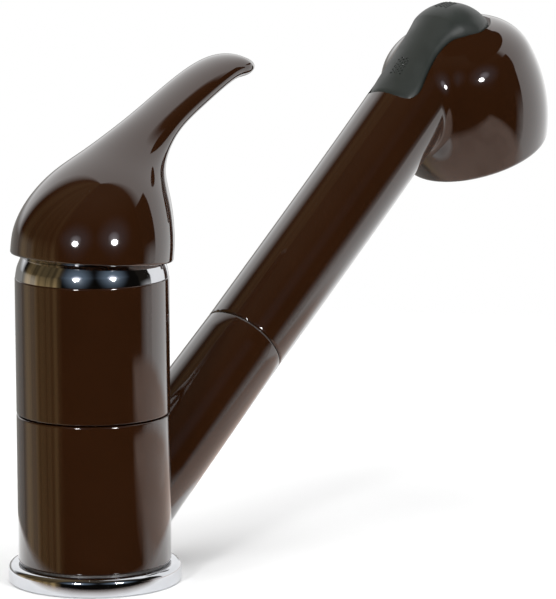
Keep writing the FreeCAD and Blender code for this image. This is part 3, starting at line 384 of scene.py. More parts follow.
def plain_mesh(name, vertices, faces=()):
    mesh = bpy.data.meshes.new(name)
    mesh.from_pydata([tuple(vertex) for vertex in vertices], [], [tuple(face) for face in faces])
    return mesh


def new_object(name, data):
    """An object of its data, linked to the scene."""
    item = bpy.data.objects.new(name, data)
    bpy.context.scene.collection.objects.link(item)
    return item


def new_piece(name, vertices, faces, slot, body, replaced=(), sharp=30.0, normals=None):
    """A finished piece from points in metres, with its finish and the body it rides on."""
    mesh = plain_mesh(name, vertices, faces)
    mesh.update()
    return dress(mesh, name, slot, body, replaced, sharp, normals)


def dress(mesh, name, slot, body, replaced=(), sharp=30.0, normals=None):
    """Shades a mesh, gives it its finish, hands it to its body, and hides the CAD nodes it stands in for."""
    if normals is not None:
        mesh.shade_smooth()
        mesh.normals_split_custom_set_from_vertices([tuple(normal) for normal in normals])
    elif sharp is not None:
        mesh.shade_smooth()
        mesh.set_sharp_from_angle(angle=math.radians(sharp))
    mesh.materials.clear()
    mesh.materials.append(FINISHES[slot])
    piece = new_object(name, mesh)
    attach(piece, body)
    if replaced:
        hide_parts(*replaced)
    return piece


def arc(middle_r, middle_z, radius, start, end, steps=8):
    """Points of an arc in a turned outline, from one angle to another in degrees."""
    angles = [math.radians(start + (end - start) * step / steps) for step in range(steps + 1)]
    return [(middle_r + radius * math.cos(angle), middle_z + radius * math.sin(angle)) for angle in angles]


def ring_faces(rows, count, closed=True, start=0):
    """Quads between rings of points that follow one another, back to the first ring if closed."""
    faces = []
    for row in range(rows if closed else rows - 1):
        near, far = start + row * count, start + (row + 1) % rows * count
        for column in range(count):
            beside = (column + 1) % count
            faces.append((near + column, near + beside, far + beside, far + column))
    return faces


def turned(outline, segments=160):
    """A closed outline of radius and height turned about the Z axis."""
    radius, height = np.array(outline, float).T
    angles = np.linspace(0, 2 * math.pi, segments, endpoint=False)
    vertices = np.stack([np.outer(radius, np.cos(angles)), np.outer(radius, np.sin(angles)),
                         np.outer(height, np.ones(segments))], -1)
    return vertices.reshape(-1, 3), ring_faces(len(outline), segments)


def clean_mesh(mesh, doubles=1e-6):
    """Merges doubled points, as where an outline meets its axis, and points the faces outwards."""
    work = bmesh.new()
    work.from_mesh(mesh)
    bmesh.ops.remove_doubles(work, verts=work.verts, dist=doubles)
    bmesh.ops.dissolve_degenerate(work, edges=work.edges, dist=doubles)
    bmesh.ops.recalc_face_normals(work, faces=work.faces)
    work.to_mesh(mesh)
    work.free()
    return mesh


def mesh_of(name, vertices, faces):
    """A mesh with its doubled points merged and its faces outwards."""
    return clean_mesh(plain_mesh(name, vertices, faces))


def evaluated(item):
    """A mesh of an object with its modifiers taken up."""
    graph = bpy.context.evaluated_depsgraph_get()
    return bpy.data.meshes.new_from_object(item.evaluated_get(graph))


def cut_away(mesh, cutters):
    """The mesh with the cutters' meshes taken out of it."""
    target = new_object("cut_target", mesh)
    for cutter in cutters:
        modifier = target.modifiers.new("cut", "BOOLEAN")
        modifier.operation = "DIFFERENCE"
        modifier.solver = "EXACT"
        modifier.object = new_object("cutter", cutter)
    result = evaluated(target)
    for item in [target] + [modifier.object for modifier in target.modifiers]:
        bpy.data.objects.remove(item)
    return result


# Fields: signed distances in metres, below zero inside

def soft_least(first, second, softness):
    """The union of two fields with a soft meeting."""
    share = np.clip(0.5 + 0.5 * (second - first) / softness, 0, 1)
    return second * (1 - share) + first * share - softness * share * (1 - share)


def soft_most(first, second, softness):
    """The common part of two fields with a rounded edge."""
    return -soft_least(-first, -second, softness)


class HandsetField:
    """The outside of the handset: tube, bend and bell."""

    def __init__(self, form):
        self.form = form
        tilt = form.bell_tilt
        self.up = np.array((-math.sin(tilt), 0, math.cos(tilt)))
        self.rim = np.array((form.bell_forward, 0, form.bell_height))

    def bar(self, points, distance, lift, radius):
        """A round bar along the spout's axis, lifted off it, with a ball at the bend."""
        middle = ROOT + np.outer(np.minimum(distance, self.form.elbow_distance), AXIS) + np.outer(lift, RISE)
        return np.linalg.norm(points - middle, axis=1) - radius

    def tube(self, points):
        form = self.form
        distance = (points - ROOT) @ AXIS
        share = np.clip((distance - form.handset_start) / (form.elbow_distance - form.handset_start), 0, 1)
        radius = form.spout_mouth_radius + (form.elbow_radius - form.spout_mouth_radius) * share
        return self.bar(points, distance, share ** 3 * form.elbow_rise, radius)

    def about_bell(self, points):
        """Height over the bell's rim and distance from the bell's axis."""
        relative = points - self.rim
        height = relative @ self.up
        return height, np.linalg.norm(relative - np.outer(height, self.up), axis=1)

    def bell(self, points):
        form = self.form
        height, radius = self.about_bell(points)
        swell = form.belly_radius - form.rim_radius
        flank = (form.belly_height ** 2 + swell ** 2) / (2 * swell)
        shoulder = math.radians(14.5)
        flank_r = form.belly_radius - flank
        crown_r = flank_r + (flank - form.crown_radius) * math.cos(shoulder)
        crown_z = form.belly_height + (flank - form.crown_radius) * math.sin(shoulder)
        side = np.hypot(radius - flank_r, height - form.belly_height) - flank
        crown = np.hypot(np.maximum(radius - crown_r, 0), np.maximum(height - crown_z, 0)) - form.crown_radius
        over = np.arctan2(height - form.belly_height, radius - flank_r) > shoulder
        inner = (radius - crown_r) * math.sin(shoulder) < (height - crown_z) * math.cos(shoulder)
        outside = np.where(over | inner & (height > crown_z), crown, side)
        return soft_most(outside, -height, 1.6 * MM)

    def __call__(self, points):
        form = self.form
        joined = soft_least(self.tube(points), self.bell(points), form.blend)
        return soft_most(joined, form.handset_start - (points - ROOT) @ AXIS, 0.5 * MM)


class HandsetHollow(HandsetField):
    """The handset with the bell's open face."""

    def __call__(self, points):
        form = self.form
        height, radius = self.about_bell(points)
        cavity = np.maximum(radius - (form.rim_radius - form.rim_wall), height - form.bell_depth)
        return soft_most(super().__call__(points), -cavity, 0.6 * MM)


class PadBack(HandsetField):
    """The rounded back of the soft pad."""

    def __call__(self, points):
        form = self.form
        distance = (points - ROOT) @ AXIS
        share = (distance - form.pad_start) / (form.elbow_distance - form.pad_start)
        share = np.clip(share, -1.5, 1.0)
        radius = form.pad_start_radius + (form.pad_radius - form.pad_start_radius) * share
        return self.bar(points, distance, np.maximum(share, -0.2) * form.elbow_rise, radius)


def smooth_outline(plan, steps=8):
    """The pad's closed plan outline as a smooth curve through its points, in metres."""
    right = [(forward, -half) for forward, half in plan]
    left = [(forward, half) for forward, half in reversed(plan[1:-1])]
    loop = np.array(right + left) * MM
    points = []
    count = len(loop)
    for index in range(count):
        before, start, end, after = (loop[(index + shift) % count] for shift in (-1, 0, 1, 2))
        bend, twist = 2 * before - 5 * start + 4 * end - after, 3 * start - before - 3 * end + after
        for step in range(steps):
            t = step / steps
            points.append(0.5 * (2 * start + (end - before) * t + bend * t ** 2 + twist * t ** 3))
    return np.array(points)


class PlanField:
    """Distance from an upright prism over a plan outline, read off a fine grid worked out once."""
    PITCH = 0.15 * MM
    MARGIN = 12 * MM

    def __init__(self, outline):
        self.low = outline.min(axis=0) - self.MARGIN
        counts = np.ceil((outline.max(axis=0) + self.MARGIN - self.low) / self.PITCH).astype(int)
        lines = [self.low[axis] + np.arange(counts[axis]) * self.PITCH for axis in (0, 1)]
        plan = np.stack(np.meshgrid(*lines, indexing="ij"), -1).reshape(-1, 2)
        best = np.full(len(plan), 1.0)
        inside = np.zeros(len(plan), bool)
        for start, end in zip(outline, np.roll(outline, -1, axis=0)):
            edge = end - start
            offset = plan - start
            share = np.clip(offset @ edge / (edge @ edge), 0, 1)
            best = np.minimum(best, ((offset - np.outer(share, edge)) ** 2).sum(1))
            crosses = (start[1] > plan[:, 1]) != (end[1] > plan[:, 1])
            if end[1] != start[1]:
                reach = start[0] + (plan[:, 1] - start[1]) * edge[0] / edge[1]
                inside ^= crosses & (plan[:, 0] < reach)
        self.grid = (np.sqrt(best) * np.where(inside, -1, 1)).reshape(counts)

    def __call__(self, points):
        last = np.array(self.grid.shape) - 1.001
        spots = np.clip((points[:, :2] - self.low) / self.PITCH, 0, last)
        cell = spots.astype(int)
        x, y = cell[:, 0], cell[:, 1]
        u, v = (spots - cell).T
        near = self.grid[x, y] * (1 - u) + self.grid[x + 1, y] * u
        far = self.grid[x, y + 1] * (1 - u) + self.grid[x + 1, y + 1] * u
        return near * (1 - v) + far * v


class PadField:
    """The soft pad: a skin over its back, kept to its outline and over the spout's axis."""

    def __init__(self, form):
        self.back = PadBack(form)
        self.plan = PlanField(smooth_outline(PAD_PLAN))
        self.form = form

    def over_axis(self, points, drop):
        return drop - (points - ROOT) @ RISE

    def __call__(self, points):
        back = self.back(points)
        skin = soft_most(back, -self.form.pad_thickness - back, 0.8 * MM)
        edge = np.maximum(self.plan(points), self.over_axis(points, self.form.pad_floor))
        return soft_most(skin, edge, 1.6 * MM)


class RecessField(PadField):
    """The room cut for the pad: its outline and a gap round it, down to under the pad."""

    def __call__(self, points):
        form = self.form
        floor = form.pad_thickness + form.pad_gap
        side = np.maximum(self.plan(points) - form.pad_edge_gap,
                          self.over_axis(points, form.pad_floor - form.pad_floor_gap))
        return np.maximum(np.maximum(side, -floor - self.back(points)), self.back(points) - form.pad_gap * 3)


def gradient(field, points, step=2e-5):
    """The field's slope at each point."""
    slopes = []
    for axis in np.eye(3) * step:
        slopes.append((field(points + axis) - field(points - axis)) / (2 * step))
    return np.stack(slopes, 1)


def unit_slope(field, points):
    """The way straight out of the field's surface at each point."""
    slope = gradient(field, points)
    return slope / np.maximum(np.linalg.norm(slope, axis=1), 1e-9)[:, None]


def cells_beside(where, axis, shifts, shape):
    """The cells on one side of each crossed grid line, and which of them lie in the grid."""
    cell = where.copy()
    cell[:, [other for other in range(3) if other != axis]] -= shifts
    return cell, np.all((cell >= 0) & (cell < np.array(shape)), axis=1)


def skin_of(field, corner, along, across, upward, sizes, step):
    """A smooth skin of a field in a box with its own axes: points, faces and exact normals."""
    basis = np.stack([along, across, upward])
    counts = [int(math.ceil(size / step)) + 1 for size in sizes]
    lines = [np.arange(count) * step for count in counts]
    values = np.empty(counts, np.float32)
    flat = np.stack(np.meshgrid(lines[1], lines[2], indexing="ij"), -1).reshape(-1, 2)
    for index, reach in enumerate(lines[0]):
        local = np.column_stack([np.full(len(flat), reach), flat])
        values[index] = field(corner + local @ basis).reshape(counts[1], counts[2])
    inside = values < 0
    total = np.zeros([count - 1 for count in counts] + [3], np.float32)
    hits = np.zeros([count - 1 for count in counts], np.int16)
    edge_lists = []
    for axis in range(3):
        low = [slice(None)] * 3
        high = [slice(None)] * 3
        low[axis] = slice(0, -1)
        high[axis] = slice(1, None)
        crossing = inside[tuple(low)] != inside[tuple(high)]
        where = np.argwhere(crossing)
        first = values[tuple(low)][crossing]
        second = values[tuple(high)][crossing]
        spot = where.astype(np.float32)
        spot[:, axis] += first / (first - second)
        edge_lists.append((where, inside[tuple(low)][crossing]))
        for shifts in ((0, 0), (0, 1), (1, 0), (1, 1)):
            cell, good = cells_beside(where, axis, shifts, hits.shape)
            np.add.at(total, tuple(cell[good].T), spot[good])
            np.add.at(hits, tuple(cell[good].T), 1)
    numbers = np.full(hits.shape, -1, np.int64)
    used = np.argwhere(hits > 0)
    numbers[tuple(used.T)] = np.arange(len(used))
    spots = total[tuple(used.T)] / hits[tuple(used.T)][:, None] * step
    points = corner + spots.astype(float) @ basis
    faces = []
    for axis, (where, solid_first) in enumerate(edge_lists):
        corners = []
        for shifts in ((1, 1), (0, 1), (0, 0), (1, 0)):
            cell, good = cells_beside(where, axis, shifts, hits.shape)
            cell[~good] = 0
            found = numbers[tuple(cell.T)]
            found[~good] = -1
            corners.append(found)
        quads = np.stack(corners, 1)
        flip = solid_first if axis != 1 else ~solid_first
        quads[~flip] = quads[~flip][:, ::-1]
        faces.append(quads[np.all(quads >= 0, axis=1)])
    for _ in range(4):
        slope = gradient(field, points)
        size = np.maximum((slope ** 2).sum(1), 0.05)
        points = points - slope * (field(points) / size)[:, None]
    return points, np.concatenate(faces), unit_slope(field, points)


def upright_skin(field, low, high):
    """The skin of a field in an upright box, at the pad's step."""
    return skin_of(field, low, *np.eye(3), tuple(high - low), PAD_STEP)


# Pieces

class TAP_OT_finishes(bpy.types.Operator):
    """Make every finish of the tap"""
    bl_idname = "tap.finishes"
    bl_label = "Finishes"

    def execute(self, context):
        FINISHES.update(make_finishes(context.scene.tap_finish))
        return {"FINISHED"}


def hole_cutter(mount, place, segments=64):
    """A plug the size of a mount's hole, for cutting it from below."""
    depth = mount["dims"].get("length_mm", 12.0) * MM
    radius = mount["dims"].get("r_mm", mount["dims"].get("hole_r_mm")) * MM
    outline = [(0, -depth), (radius, -depth), (radius, depth), (0, depth)]
    vertices, faces = turned(outline, segments=segments)
    vertices += np.array(place)
    return mesh_of("hole", vertices, faces)


class TAP_OT_upper_body(bpy.types.Operator):
    """The fixed casting: neck, cup and the holes in its floor"""
    bl_idname = "tap.upper_body"
    bl_label = "Upper body"

    def execute(self, context):
        form = context.scene.tap_form
        radius, top, rounding = BODY_HIGH.x, BODY_HIGH.z, form.edge_round
        neck = 20.0 * MM
        floor = SPOUT_TOP + form.seam_gap
        inner = 20.5 * MM
        seat = 92.8 * MM
        well, well_floor = 17.6 * MM, 72.0 * MM
        outline = [(0, 0), (neck, 0), (neck, floor)]
        outline += arc(radius - rounding, floor + rounding, rounding, -90, 0)
        outline += arc(radius - rounding, top - rounding, rounding, 0, 90)
        outline += [(inner, top), (inner, seat), (well, seat), (well, well_floor), (0, well_floor)]
        vertices, faces = turned(outline)
        mesh = mesh_of("upper_body", vertices, faces)
        cutters = []
        for name in ("hot_inlet", "cold_inlet", "mixed_outlet", "hose_passage"):
            cutters.append(hole_cutter(MOUNTS[name], MOUNTS[name]["pos_m"]))
        studs = MOUNTS["stud_holes"]
        for side in (-0.5, 0.5):
            place = Vector(studs["pos_m"]) + Vector((0, side * studs["dims"]["spacing_y_mm"] * MM, 0))
            cutters.append(hole_cutter(studs, place))
        dress(cut_away(mesh, cutters), "upper_body", "lacquer", "body", ["mixer_body"])
        return {"FINISHED"}


class TAP_OT_base_flange(bpy.types.Operator):
    """The chrome flange that stands on the deck"""
    bl_idname = "tap.base_flange"
    bl_label = "Base flange"

    def execute(self, context):
        form = context.scene.tap_form
        outer, height, rounding = FLANGE_HIGH.x, FLANGE_HIGH.z, form.flange_bevel
        lip, inner = 0.5 * MM, 20.1 * MM
        seal_inner, seal_outer, seal = 21.5 * MM, 26.0 * MM, 1.6 * MM
        outline = [(inner, 0), (seal_inner, 0), (seal_inner, seal), (seal_outer, seal), (seal_outer, 0)]
        outline += arc(outer - lip, lip, lip, -90, 0, 5)
        outline += arc(outer - rounding, height - rounding, rounding, 0, 90, 12)
        outline += [(inner, height)]
        vertices, faces = turned(outline, segments=192)
        dress(mesh_of("base_flange", vertices, faces), "chrome_flange", "chrome", "body", ["base_flange"])
        return {"FINISHED"}


class TAP_OT_dome(bpy.types.Operator):
    """The chrome dome under the lever's cap"""
    bl_idname = "tap.dome"
    bl_label = "Dome"

    def execute(self, context):
        outer, room = 25.0 * MM, 25.7 * MM
        inner = outer - 2.5 * MM
        middle = PIVOT.z + 2.5 * MM
        opening = 13.0 * MM
        low, high = max(DOME_LOW.z, BODY_HIGH.z), PIVOT.z + 21.0 * MM
        start = math.degrees(math.asin((low - PIVOT.z) / inner))
        end = math.degrees(math.acos(opening / inner))
        steps = 48
        outline = []
        for step in range(steps + 1):
            height = low + (high - low) * step / steps
            outline.append((min(math.sqrt(outer ** 2 - (height - middle) ** 2),
                                math.sqrt(room ** 2 - (height - PIVOT.z) ** 2)), height))
        outline += arc(0, PIVOT.z, inner, end, start, 24)
        vertices, faces = turned(outline, segments=192)
        dress(mesh_of("dome", vertices, faces), "chrome_dome", "chrome", "body", ["dome_cover"])
        return {"FINISHED"}


def spout_ring(distance, radius, count, start_on=None):
    """A ring of the spout; its points slide along the axis onto an upright cylinder if asked."""
    angles = np.linspace(0, 2 * math.pi, count, endpoint=False)
    spokes = np.outer(np.cos(angles), RISE) + np.outer(np.sin(angles), ACROSS)
    points = ROOT + AXIS * distance + spokes * radius
    if start_on is not None:
        forward = np.sqrt(start_on ** 2 - points[:, 1] ** 2)
        points = points + np.outer((forward - points[:, 0]) / AXIS[0], AXIS)
    return points


class TAP_OT_swivel_spout(bpy.types.Operator):
    """The turning sleeve and the fixed length of the spout"""
    bl_idname = "tap.swivel_spout"
    bl_label = "Swivel spout"

    def execute(self, context):
        form = context.scene.tap_form
        rounding, radius, base = form.edge_round, BODY_HIGH.x, SPOUT_LOW.z
        inner = 21.6 * MM
        in_wall = 0.5 * (radius + inner)
        outline = arc(radius - rounding, base + rounding, rounding, -90, 0)
        outline += arc(radius - rounding, SPOUT_TOP - rounding, rounding, 0, 90)
        outline += [(inner, SPOUT_TOP), (inner, base)]
        vertices, faces = turned(outline, segments=192)
        count = 128
        end_round, clear_of_body, collar_depth = 0.35 * MM, 24.0 * MM, 23.5 * MM
        end, mouth = form.spout_length - end_round, form.spout_mouth_radius - end_round
        taper = (form.spout_root_radius - form.spout_mouth_radius) / form.spout_length
        rings = [spout_ring(0, form.spout_root_radius, count, start_on=in_wall)]
        for step in range(1, 13):
            distance = clear_of_body + (end - clear_of_body) * step / 12
            rings.append(spout_ring(distance, form.spout_root_radius - taper * distance, count))
        for step in range(1, 5):
            angle = math.pi / 2 * step / 4
            rings.append(spout_ring(end + end_round * math.sin(angle),
                                    mouth + end_round * math.cos(angle), count))
        shoulder = form.spout_length - collar_depth
        for distance, bore in ((form.spout_length, form.collar_bore), (shoulder, form.collar_bore),
                               (shoulder, form.spout_bore)):
            rings.append(spout_ring(distance, bore, count))
        rings.append(spout_ring(0, form.spout_bore, count, start_on=in_wall))
        start = len(vertices)
        vertices = np.concatenate([vertices] + rings)
        faces += ring_faces(len(rings), count, start=start)
        dress(mesh_of("swivel", vertices, faces), "swivel_casting", "lacquer", "spout", ["swivel_spout"])
        return {"FINISHED"}


def lever_curves(steps):
    """Middle, upward half and half width of closely spaced lever sections, through the given ones."""
    rows = np.array(LEVER_SECTIONS) * MM
    back = rows[:, 0:2]
    front = rows[:, 2:4]
    middles = (back + front) / 2
    halves = (back - front) / 2
    widths = rows[:, 4]
    data = np.column_stack([middles, halves, widths])
    gaps = np.linalg.norm(np.diff(middles, axis=0), axis=1) + np.linalg.norm(np.diff(halves, axis=0), axis=1)
    knots = np.concatenate([[0], np.cumsum(gaps)])
    count = len(knots)
    matrix = np.zeros((count, count))
    right = np.zeros((count, data.shape[1]))
    matrix[0, 0] = matrix[-1, -1] = 1
    for index in range(1, count - 1):
        before, after = knots[index] - knots[index - 1], knots[index + 1] - knots[index]
        matrix[index, index - 1:index + 2] = before, 2 * (before + after), after
        right[index] = 6 * ((data[index + 1] - data[index]) / after
                            - (data[index] - data[index - 1]) / before)
    bends = np.linalg.solve(matrix, right)
    places = np.linspace(0, knots[-1], steps)
    spans = np.clip(np.searchsorted(knots, places, side="right") - 1, 0, count - 2)
    rows = []
    for place, span in zip(places, spans):
        gap = knots[span + 1] - knots[span]
        a, b = (knots[span + 1] - place) / gap, (place - knots[span]) / gap
        rows.append(a * data[span] + b * data[span + 1]
                    + ((a ** 3 - a) * bends[span] + (b ** 3 - b) * bends[span + 1]) * gap ** 2 / 6)
    return np.array(rows)


class TAP_OT_lever(bpy.types.Operator):
    """The cap and the swept lever in one skin"""
    bl_idname = "tap.lever"
    bl_label = "Lever"

    def execute(self, context):
        form = context.scene.tap_form
        count = 144
        rows = lever_curves(180)
        angles = np.linspace(0, 2 * math.pi, count, endpoint=False)
        up, side = np.cos(angles), np.sin(angles)

        def ring(row, share=1.0, push=0.0):
            middle_x, middle_z, half_x, half_z, width = row
            half = math.hypot(half_x, half_z)
            along = np.array((half_z, -half_x)) / half
            return np.column_stack([middle_x + half_x * up * share + along[0] * push, side * width * share,
                                    middle_z + half_z * up * share + along[1] * push])

        lip, cavity_edge, tip_share = 0.8 * MM, math.radians(62.0), 0.55
        first, last = rows[0], rows[-1]
        cavity = form.cap_cavity
        rings = []
        for step in range(1, 31):
            polar = cavity_edge * step / 30
            rings.append(np.column_stack([-up * cavity * math.sin(polar), side * cavity * math.sin(polar),
                                          np.full(count, cavity * math.cos(polar))]))
        half = math.hypot(first[2], first[3])
        for turn in range(7):
            angle = math.pi / 2 * turn / 6
            share = 1 - lip * (1 - math.sin(angle)) / half
            rings.append(ring(first, share, lip * (1 - math.cos(angle))))
        rings += [ring(row) for row in rows[2:]]
        half = math.hypot(last[2], last[3])
        for turn in range(1, 8):
            angle = math.pi / 2 * turn / 8
            rings.append(ring(last, math.cos(angle), half * tip_share * math.sin(angle)))
        start_pole = np.array([[0, 0, cavity]])
        end_pole = ring(last, 0.0, half * tip_share)[:1]
        vertices = np.concatenate([start_pole] + rings + [end_pole]) + np.array(PIVOT)
        faces = ring_faces(len(rings), count, closed=False, start=1)
        end = 1 + (len(rings) - 1) * count
        for column in range(count):
            beside = (column + 1) % count
            faces += [(0, 1 + beside, 1 + column), (end + column, end + beside, len(vertices) - 1)]
        mesh = mesh_of("lever", vertices, faces)
        dress(mesh, "lever_cap", "lacquer", "lever", ["lever_handle"], sharp=50.0)
        return {"FINISHED"}


class TAP_OT_handset(bpy.types.Operator):
    """The pull-out tube, its bend and the bell in one skin, with the pad's recess"""
    bl_idname = "tap.handset"
    bl_label = "Handset"

    def execute(self, context):
        form = context.scene.tap_form
        field = HandsetHollow(form)
        step = 0.7 * MM
        margin = 2 * step
        past_bend, under_axis, height = 42 * MM, 58 * MM, 80 * MM
        half = form.belly_radius + margin
        corner = ROOT + AXIS * (form.handset_start - margin) - ACROSS * half - RISE * under_axis
        sizes = (form.elbow_distance - form.handset_start + past_bend, 2 * half, height)
        points, faces, _ = skin_of(field, corner, AXIS, ACROSS, RISE, sizes, step)
        under, over = 3 * MM, 8 * MM
        low, high = (np.array(side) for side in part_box("rocker_pad"))
        cutter = mesh_of("recess", *upright_skin(RecessField(form), low - under, high + over)[:2])
        shell = mesh_of("handset", points, faces)
        for mesh in (cutter, shell):
            mesh.materials.append(FINISHES["lacquer"])
            mesh.materials.append(FINISHES["seal_rubber"])
        cutter.polygons.foreach_set("material_index", [1] * len(cutter.polygons))
        mesh = cut_away(shell, [cutter])
        mesh.shade_smooth()
        mesh.set_sharp_from_angle(angle=math.radians(35))
        places = np.empty(len(mesh.vertices) * 3)
        mesh.vertices.foreach_get("co", places)
        places = places.reshape(-1, 3)
        skin = unit_slope(field, places)
        normals = np.empty(len(mesh.loops) * 3, np.float32)
        mesh.corner_normals.foreach_get("vector", normals)
        normals = normals.reshape(-1, 3)
        corners = np.empty(len(mesh.loops), np.int32)
        mesh.loops.foreach_get("vertex_index", corners)
        outer = np.concatenate([[face.material_index == 0] * face.loop_total for face in mesh.polygons])
        normals[outer] = skin[corners[outer]]
        mesh.normals_split_custom_set(normals)
        mesh.polygons.foreach_set("material_index", [0] * len(mesh.polygons))
        dress(mesh, "handset_skin", "lacquer", "handset", ["handset_shell"], sharp=None)
        return {"FINISHED"}


class TAP_OT_rocker(bpy.types.Operator):
    """The soft rocker pad over the bend"""
    bl_idname = "tap.rocker"
    bl_label = "Rocker pad"

    def execute(self, context):
        margin = 2.5 * MM
        low, high = (np.array(side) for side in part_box("rocker_pad"))
        points, faces, normals = upright_skin(PadField(context.scene.tap_form), low - margin, high + margin)
        new_piece("soft_pad", points, faces, "soft_touch", "rocker", ["rocker_pad"], normals=normals)
        return {"FINISHED"}


def dots_tree():
    """Small raised dots on every point, turned to face as the point's own direction says."""
    tree = bpy.data.node_groups.new("raised_dots", "GeometryNodeTree")
    face = tree.interface
    face.new_socket("Geometry", in_out="INPUT", socket_type="NodeSocketGeometry")
    face.new_socket("Dot radius", in_out="INPUT", socket_type="NodeSocketFloat")
    face.new_socket("Finish", in_out="INPUT", socket_type="NodeSocketMaterial")
    face.new_socket("Geometry", in_out="OUTPUT", socket_type="NodeSocketGeometry")
    given = add_node(tree, "NodeGroupInput")
    result = add_node(tree, "NodeGroupOutput")
    dot = add_node(tree, "GeometryNodeMeshUVSphere", [("Radius", given.outputs["Dot radius"])],
                   Segments=14, Rings=8)
    flat = add_node(tree, "GeometryNodeTransform", [("Geometry", dot.outputs["Mesh"])], Scale=(1, 1, 0.6))
    soft = add_node(tree, "GeometryNodeSetShadeSmooth", [("Geometry", flat.outputs["Geometry"])])
    facing_way = add_node(tree, "GeometryNodeInputNamedAttribute", data_type="FLOAT_VECTOR", Name="facing")
    turn = add_node(tree, "FunctionNodeAlignRotationToVector", [("Vector", facing_way.outputs["Attribute"])],
                    axis="Z")
    spots = add_node(tree, "GeometryNodeMeshToPoints", [("Mesh", given.outputs["Geometry"])])
    placed = add_node(tree, "GeometryNodeInstanceOnPoints",
                      [("Points", spots.outputs["Points"]), ("Instance", soft.outputs["Geometry"]),
                       ("Rotation", turn.outputs["Rotation"])])
    real = add_node(tree, "GeometryNodeRealizeInstances", [("Geometry", placed.outputs["Instances"])])
    painted = add_node(tree, "GeometryNodeSetMaterial",
                       [("Geometry", real.outputs["Geometry"]), ("Material", given.outputs["Finish"])])
    tree.links.new(painted.outputs["Geometry"], result.inputs["Geometry"])
    return tree


def grow(name, points, facings, tree, inputs):
    """The plain mesh that a node tree grows on points with directions."""
    mesh = plain_mesh(name, points)
    layer = mesh.attributes.new("facing", "FLOAT_VECTOR", "POINT")
    layer.data.foreach_set("vector", np.asarray(facings, np.float32).ravel())
    seed = new_object(name + "_points", mesh)
    modifier = seed.modifiers.new("grow", "NODES")
    modifier.node_group = tree
    for socket in tree.interface.items_tree:
        if socket.in_out == "INPUT" and socket.name in inputs:
            modifier[socket.identifier] = inputs[socket.name]
    grown = evaluated(seed)
    bpy.data.objects.remove(seed)
    return grown


class TAP_OT_dots(bpy.types.Operator):
    """The raised grip dots at the two ends of the rocker pad"""
    bl_idname = "tap.dots"
    bl_label = "Grip dots"

    def execute(self, context):
        form = context.scene.tap_form
        back = PadBack(form)
        spots = []
        above = 190 * MM
        for middle, count in ((150.5 * MM, 5), (174.5 * MM, 6)):
            for column in range(count):
                for row in range(count):
                    shift = form.dot_pitch * (0.5 * (row % 2) - 0.25)
                    spots.append((middle + (column - (count - 1) / 2) * form.dot_pitch + shift,
                                  (row - (count - 1) / 2) * form.dot_pitch, above))
        points = np.array(spots)
        for _ in range(60):
            points[:, 2] -= back(points) * 0.7
        mesh = grow("grip_dots", points, unit_slope(back, points), dots_tree(),
                    {"Dot radius": form.dot_radius, "Finish": FINISHES["dots"]})
        dress(mesh, "grip_dots", "dots", "rocker", sharp=60.0)
        return {"FINISHED"}


class TAP_OT_inner_pieces(bpy.types.Operator):
    """The pieces inside and under the tap, with their points merged and their own finishes"""
    bl_idname = "tap.inner_pieces"
    bl_label = "Inner pieces"

    def execute(self, context):
        bodies = frame["record"]["behaviour"]["bodies"]
        home = {node: body for body, nodes in bodies.items() for node in nodes}
        for node, slot in KEPT.items():
            if node in REMADE:
                continue
            mesh = NODES[node].data.copy()
            mesh.name = node + "_skin"
            clean_mesh(mesh)
            dress(mesh, node + "_skin", slot, home[node], [node])
        return {"FINISHED"}


# Stage

def aim(obj, place, target):
    """Puts a lamp or the camera at its place, looking at a target."""
    obj.location = place
    obj.rotation_euler = (Vector(target) - Vector(place)).to_track_quat("-Z", "Y").to_euler()


def white_world(world):
    """White all round to the eye and in gloss, and a little dimmer as light on the tap."""
    light_on_tap = 0.62
    world.use_nodes = True
    tree = world.node_tree
    tree.nodes.clear()
    output = add_node(tree, "ShaderNodeOutputWorld")
    seen = add_node(tree, "ShaderNodeLightPath")
    direct = add_node(tree, "ShaderNodeMath", [(0, seen.outputs["Is Camera Ray"]),
                                               (1, seen.outputs["Is Glossy Ray"])], operation="MAXIMUM")
    shown = add_node(tree, "ShaderNodeMath", [(0, direct), (1, seen.outputs["Is Transmission Ray"])],
                     operation="MAXIMUM")
    level = add_node(tree, "ShaderNodeMapRange", [("Value", shown)], To_Min=light_on_tap)
    background = add_node(tree, "ShaderNodeBackground", [("Strength", level)], Color=(1, 1, 1, 1))
    tree.links.new(background.outputs["Background"], output.inputs["Surface"])


def compass(angle):
    """A level direction from an angle in plan."""
    return Vector((math.cos(angle), math.sin(angle), 0))


def toward(tree, vector, direction, low, high):
    """How nearly a direction points one way: none below one cosine, all above the other."""
    dot = add_node(tree, "ShaderNodeVectorMath", [(0, vector)], operation="DOT_PRODUCT")
    dot.inputs[1].default_value = direction
    return add_node(tree, "ShaderNodeMapRange", [("Value", dot.outputs["Value"])],
                    From_Min=low, From_Max=high)


def fading(tree, share, value, span, strengths):
    """A share times a strength that goes from one number to another while a value crosses a span."""
    strength = add_node(tree, "ShaderNodeMapRange", [("Value", value)], From_Min=span[0], From_Max=span[1],
                        To_Min=strengths[0], To_Max=strengths[1])
    return add_node(tree, "ShaderNodeMath", [(0, share), (1, strength)], operation="MULTIPLY")


def add_light(tree, base, share, colour):
    """Adds a colour to another, by a share."""
    scaled = add_node(tree, "ShaderNodeMix", [("Factor", share)], data_type="RGBA",
                      A=(0, 0, 0, 1), B=(*colour, 1))
    return add_node(tree, "ShaderNodeVectorMath", [(0, base), (1, scaled.outputs["Result"])],
                    operation="ADD")


def gloss_card(name, vertices, faces, material):
    """A card that only the gloss shows."""
    mesh = plain_mesh(name, vertices, faces)
    mesh.shade_smooth()
    mesh.materials.append(material)
    card = new_object(name, mesh)
    card.visible_camera = card.visible_diffuse = card.visible_shadow = False


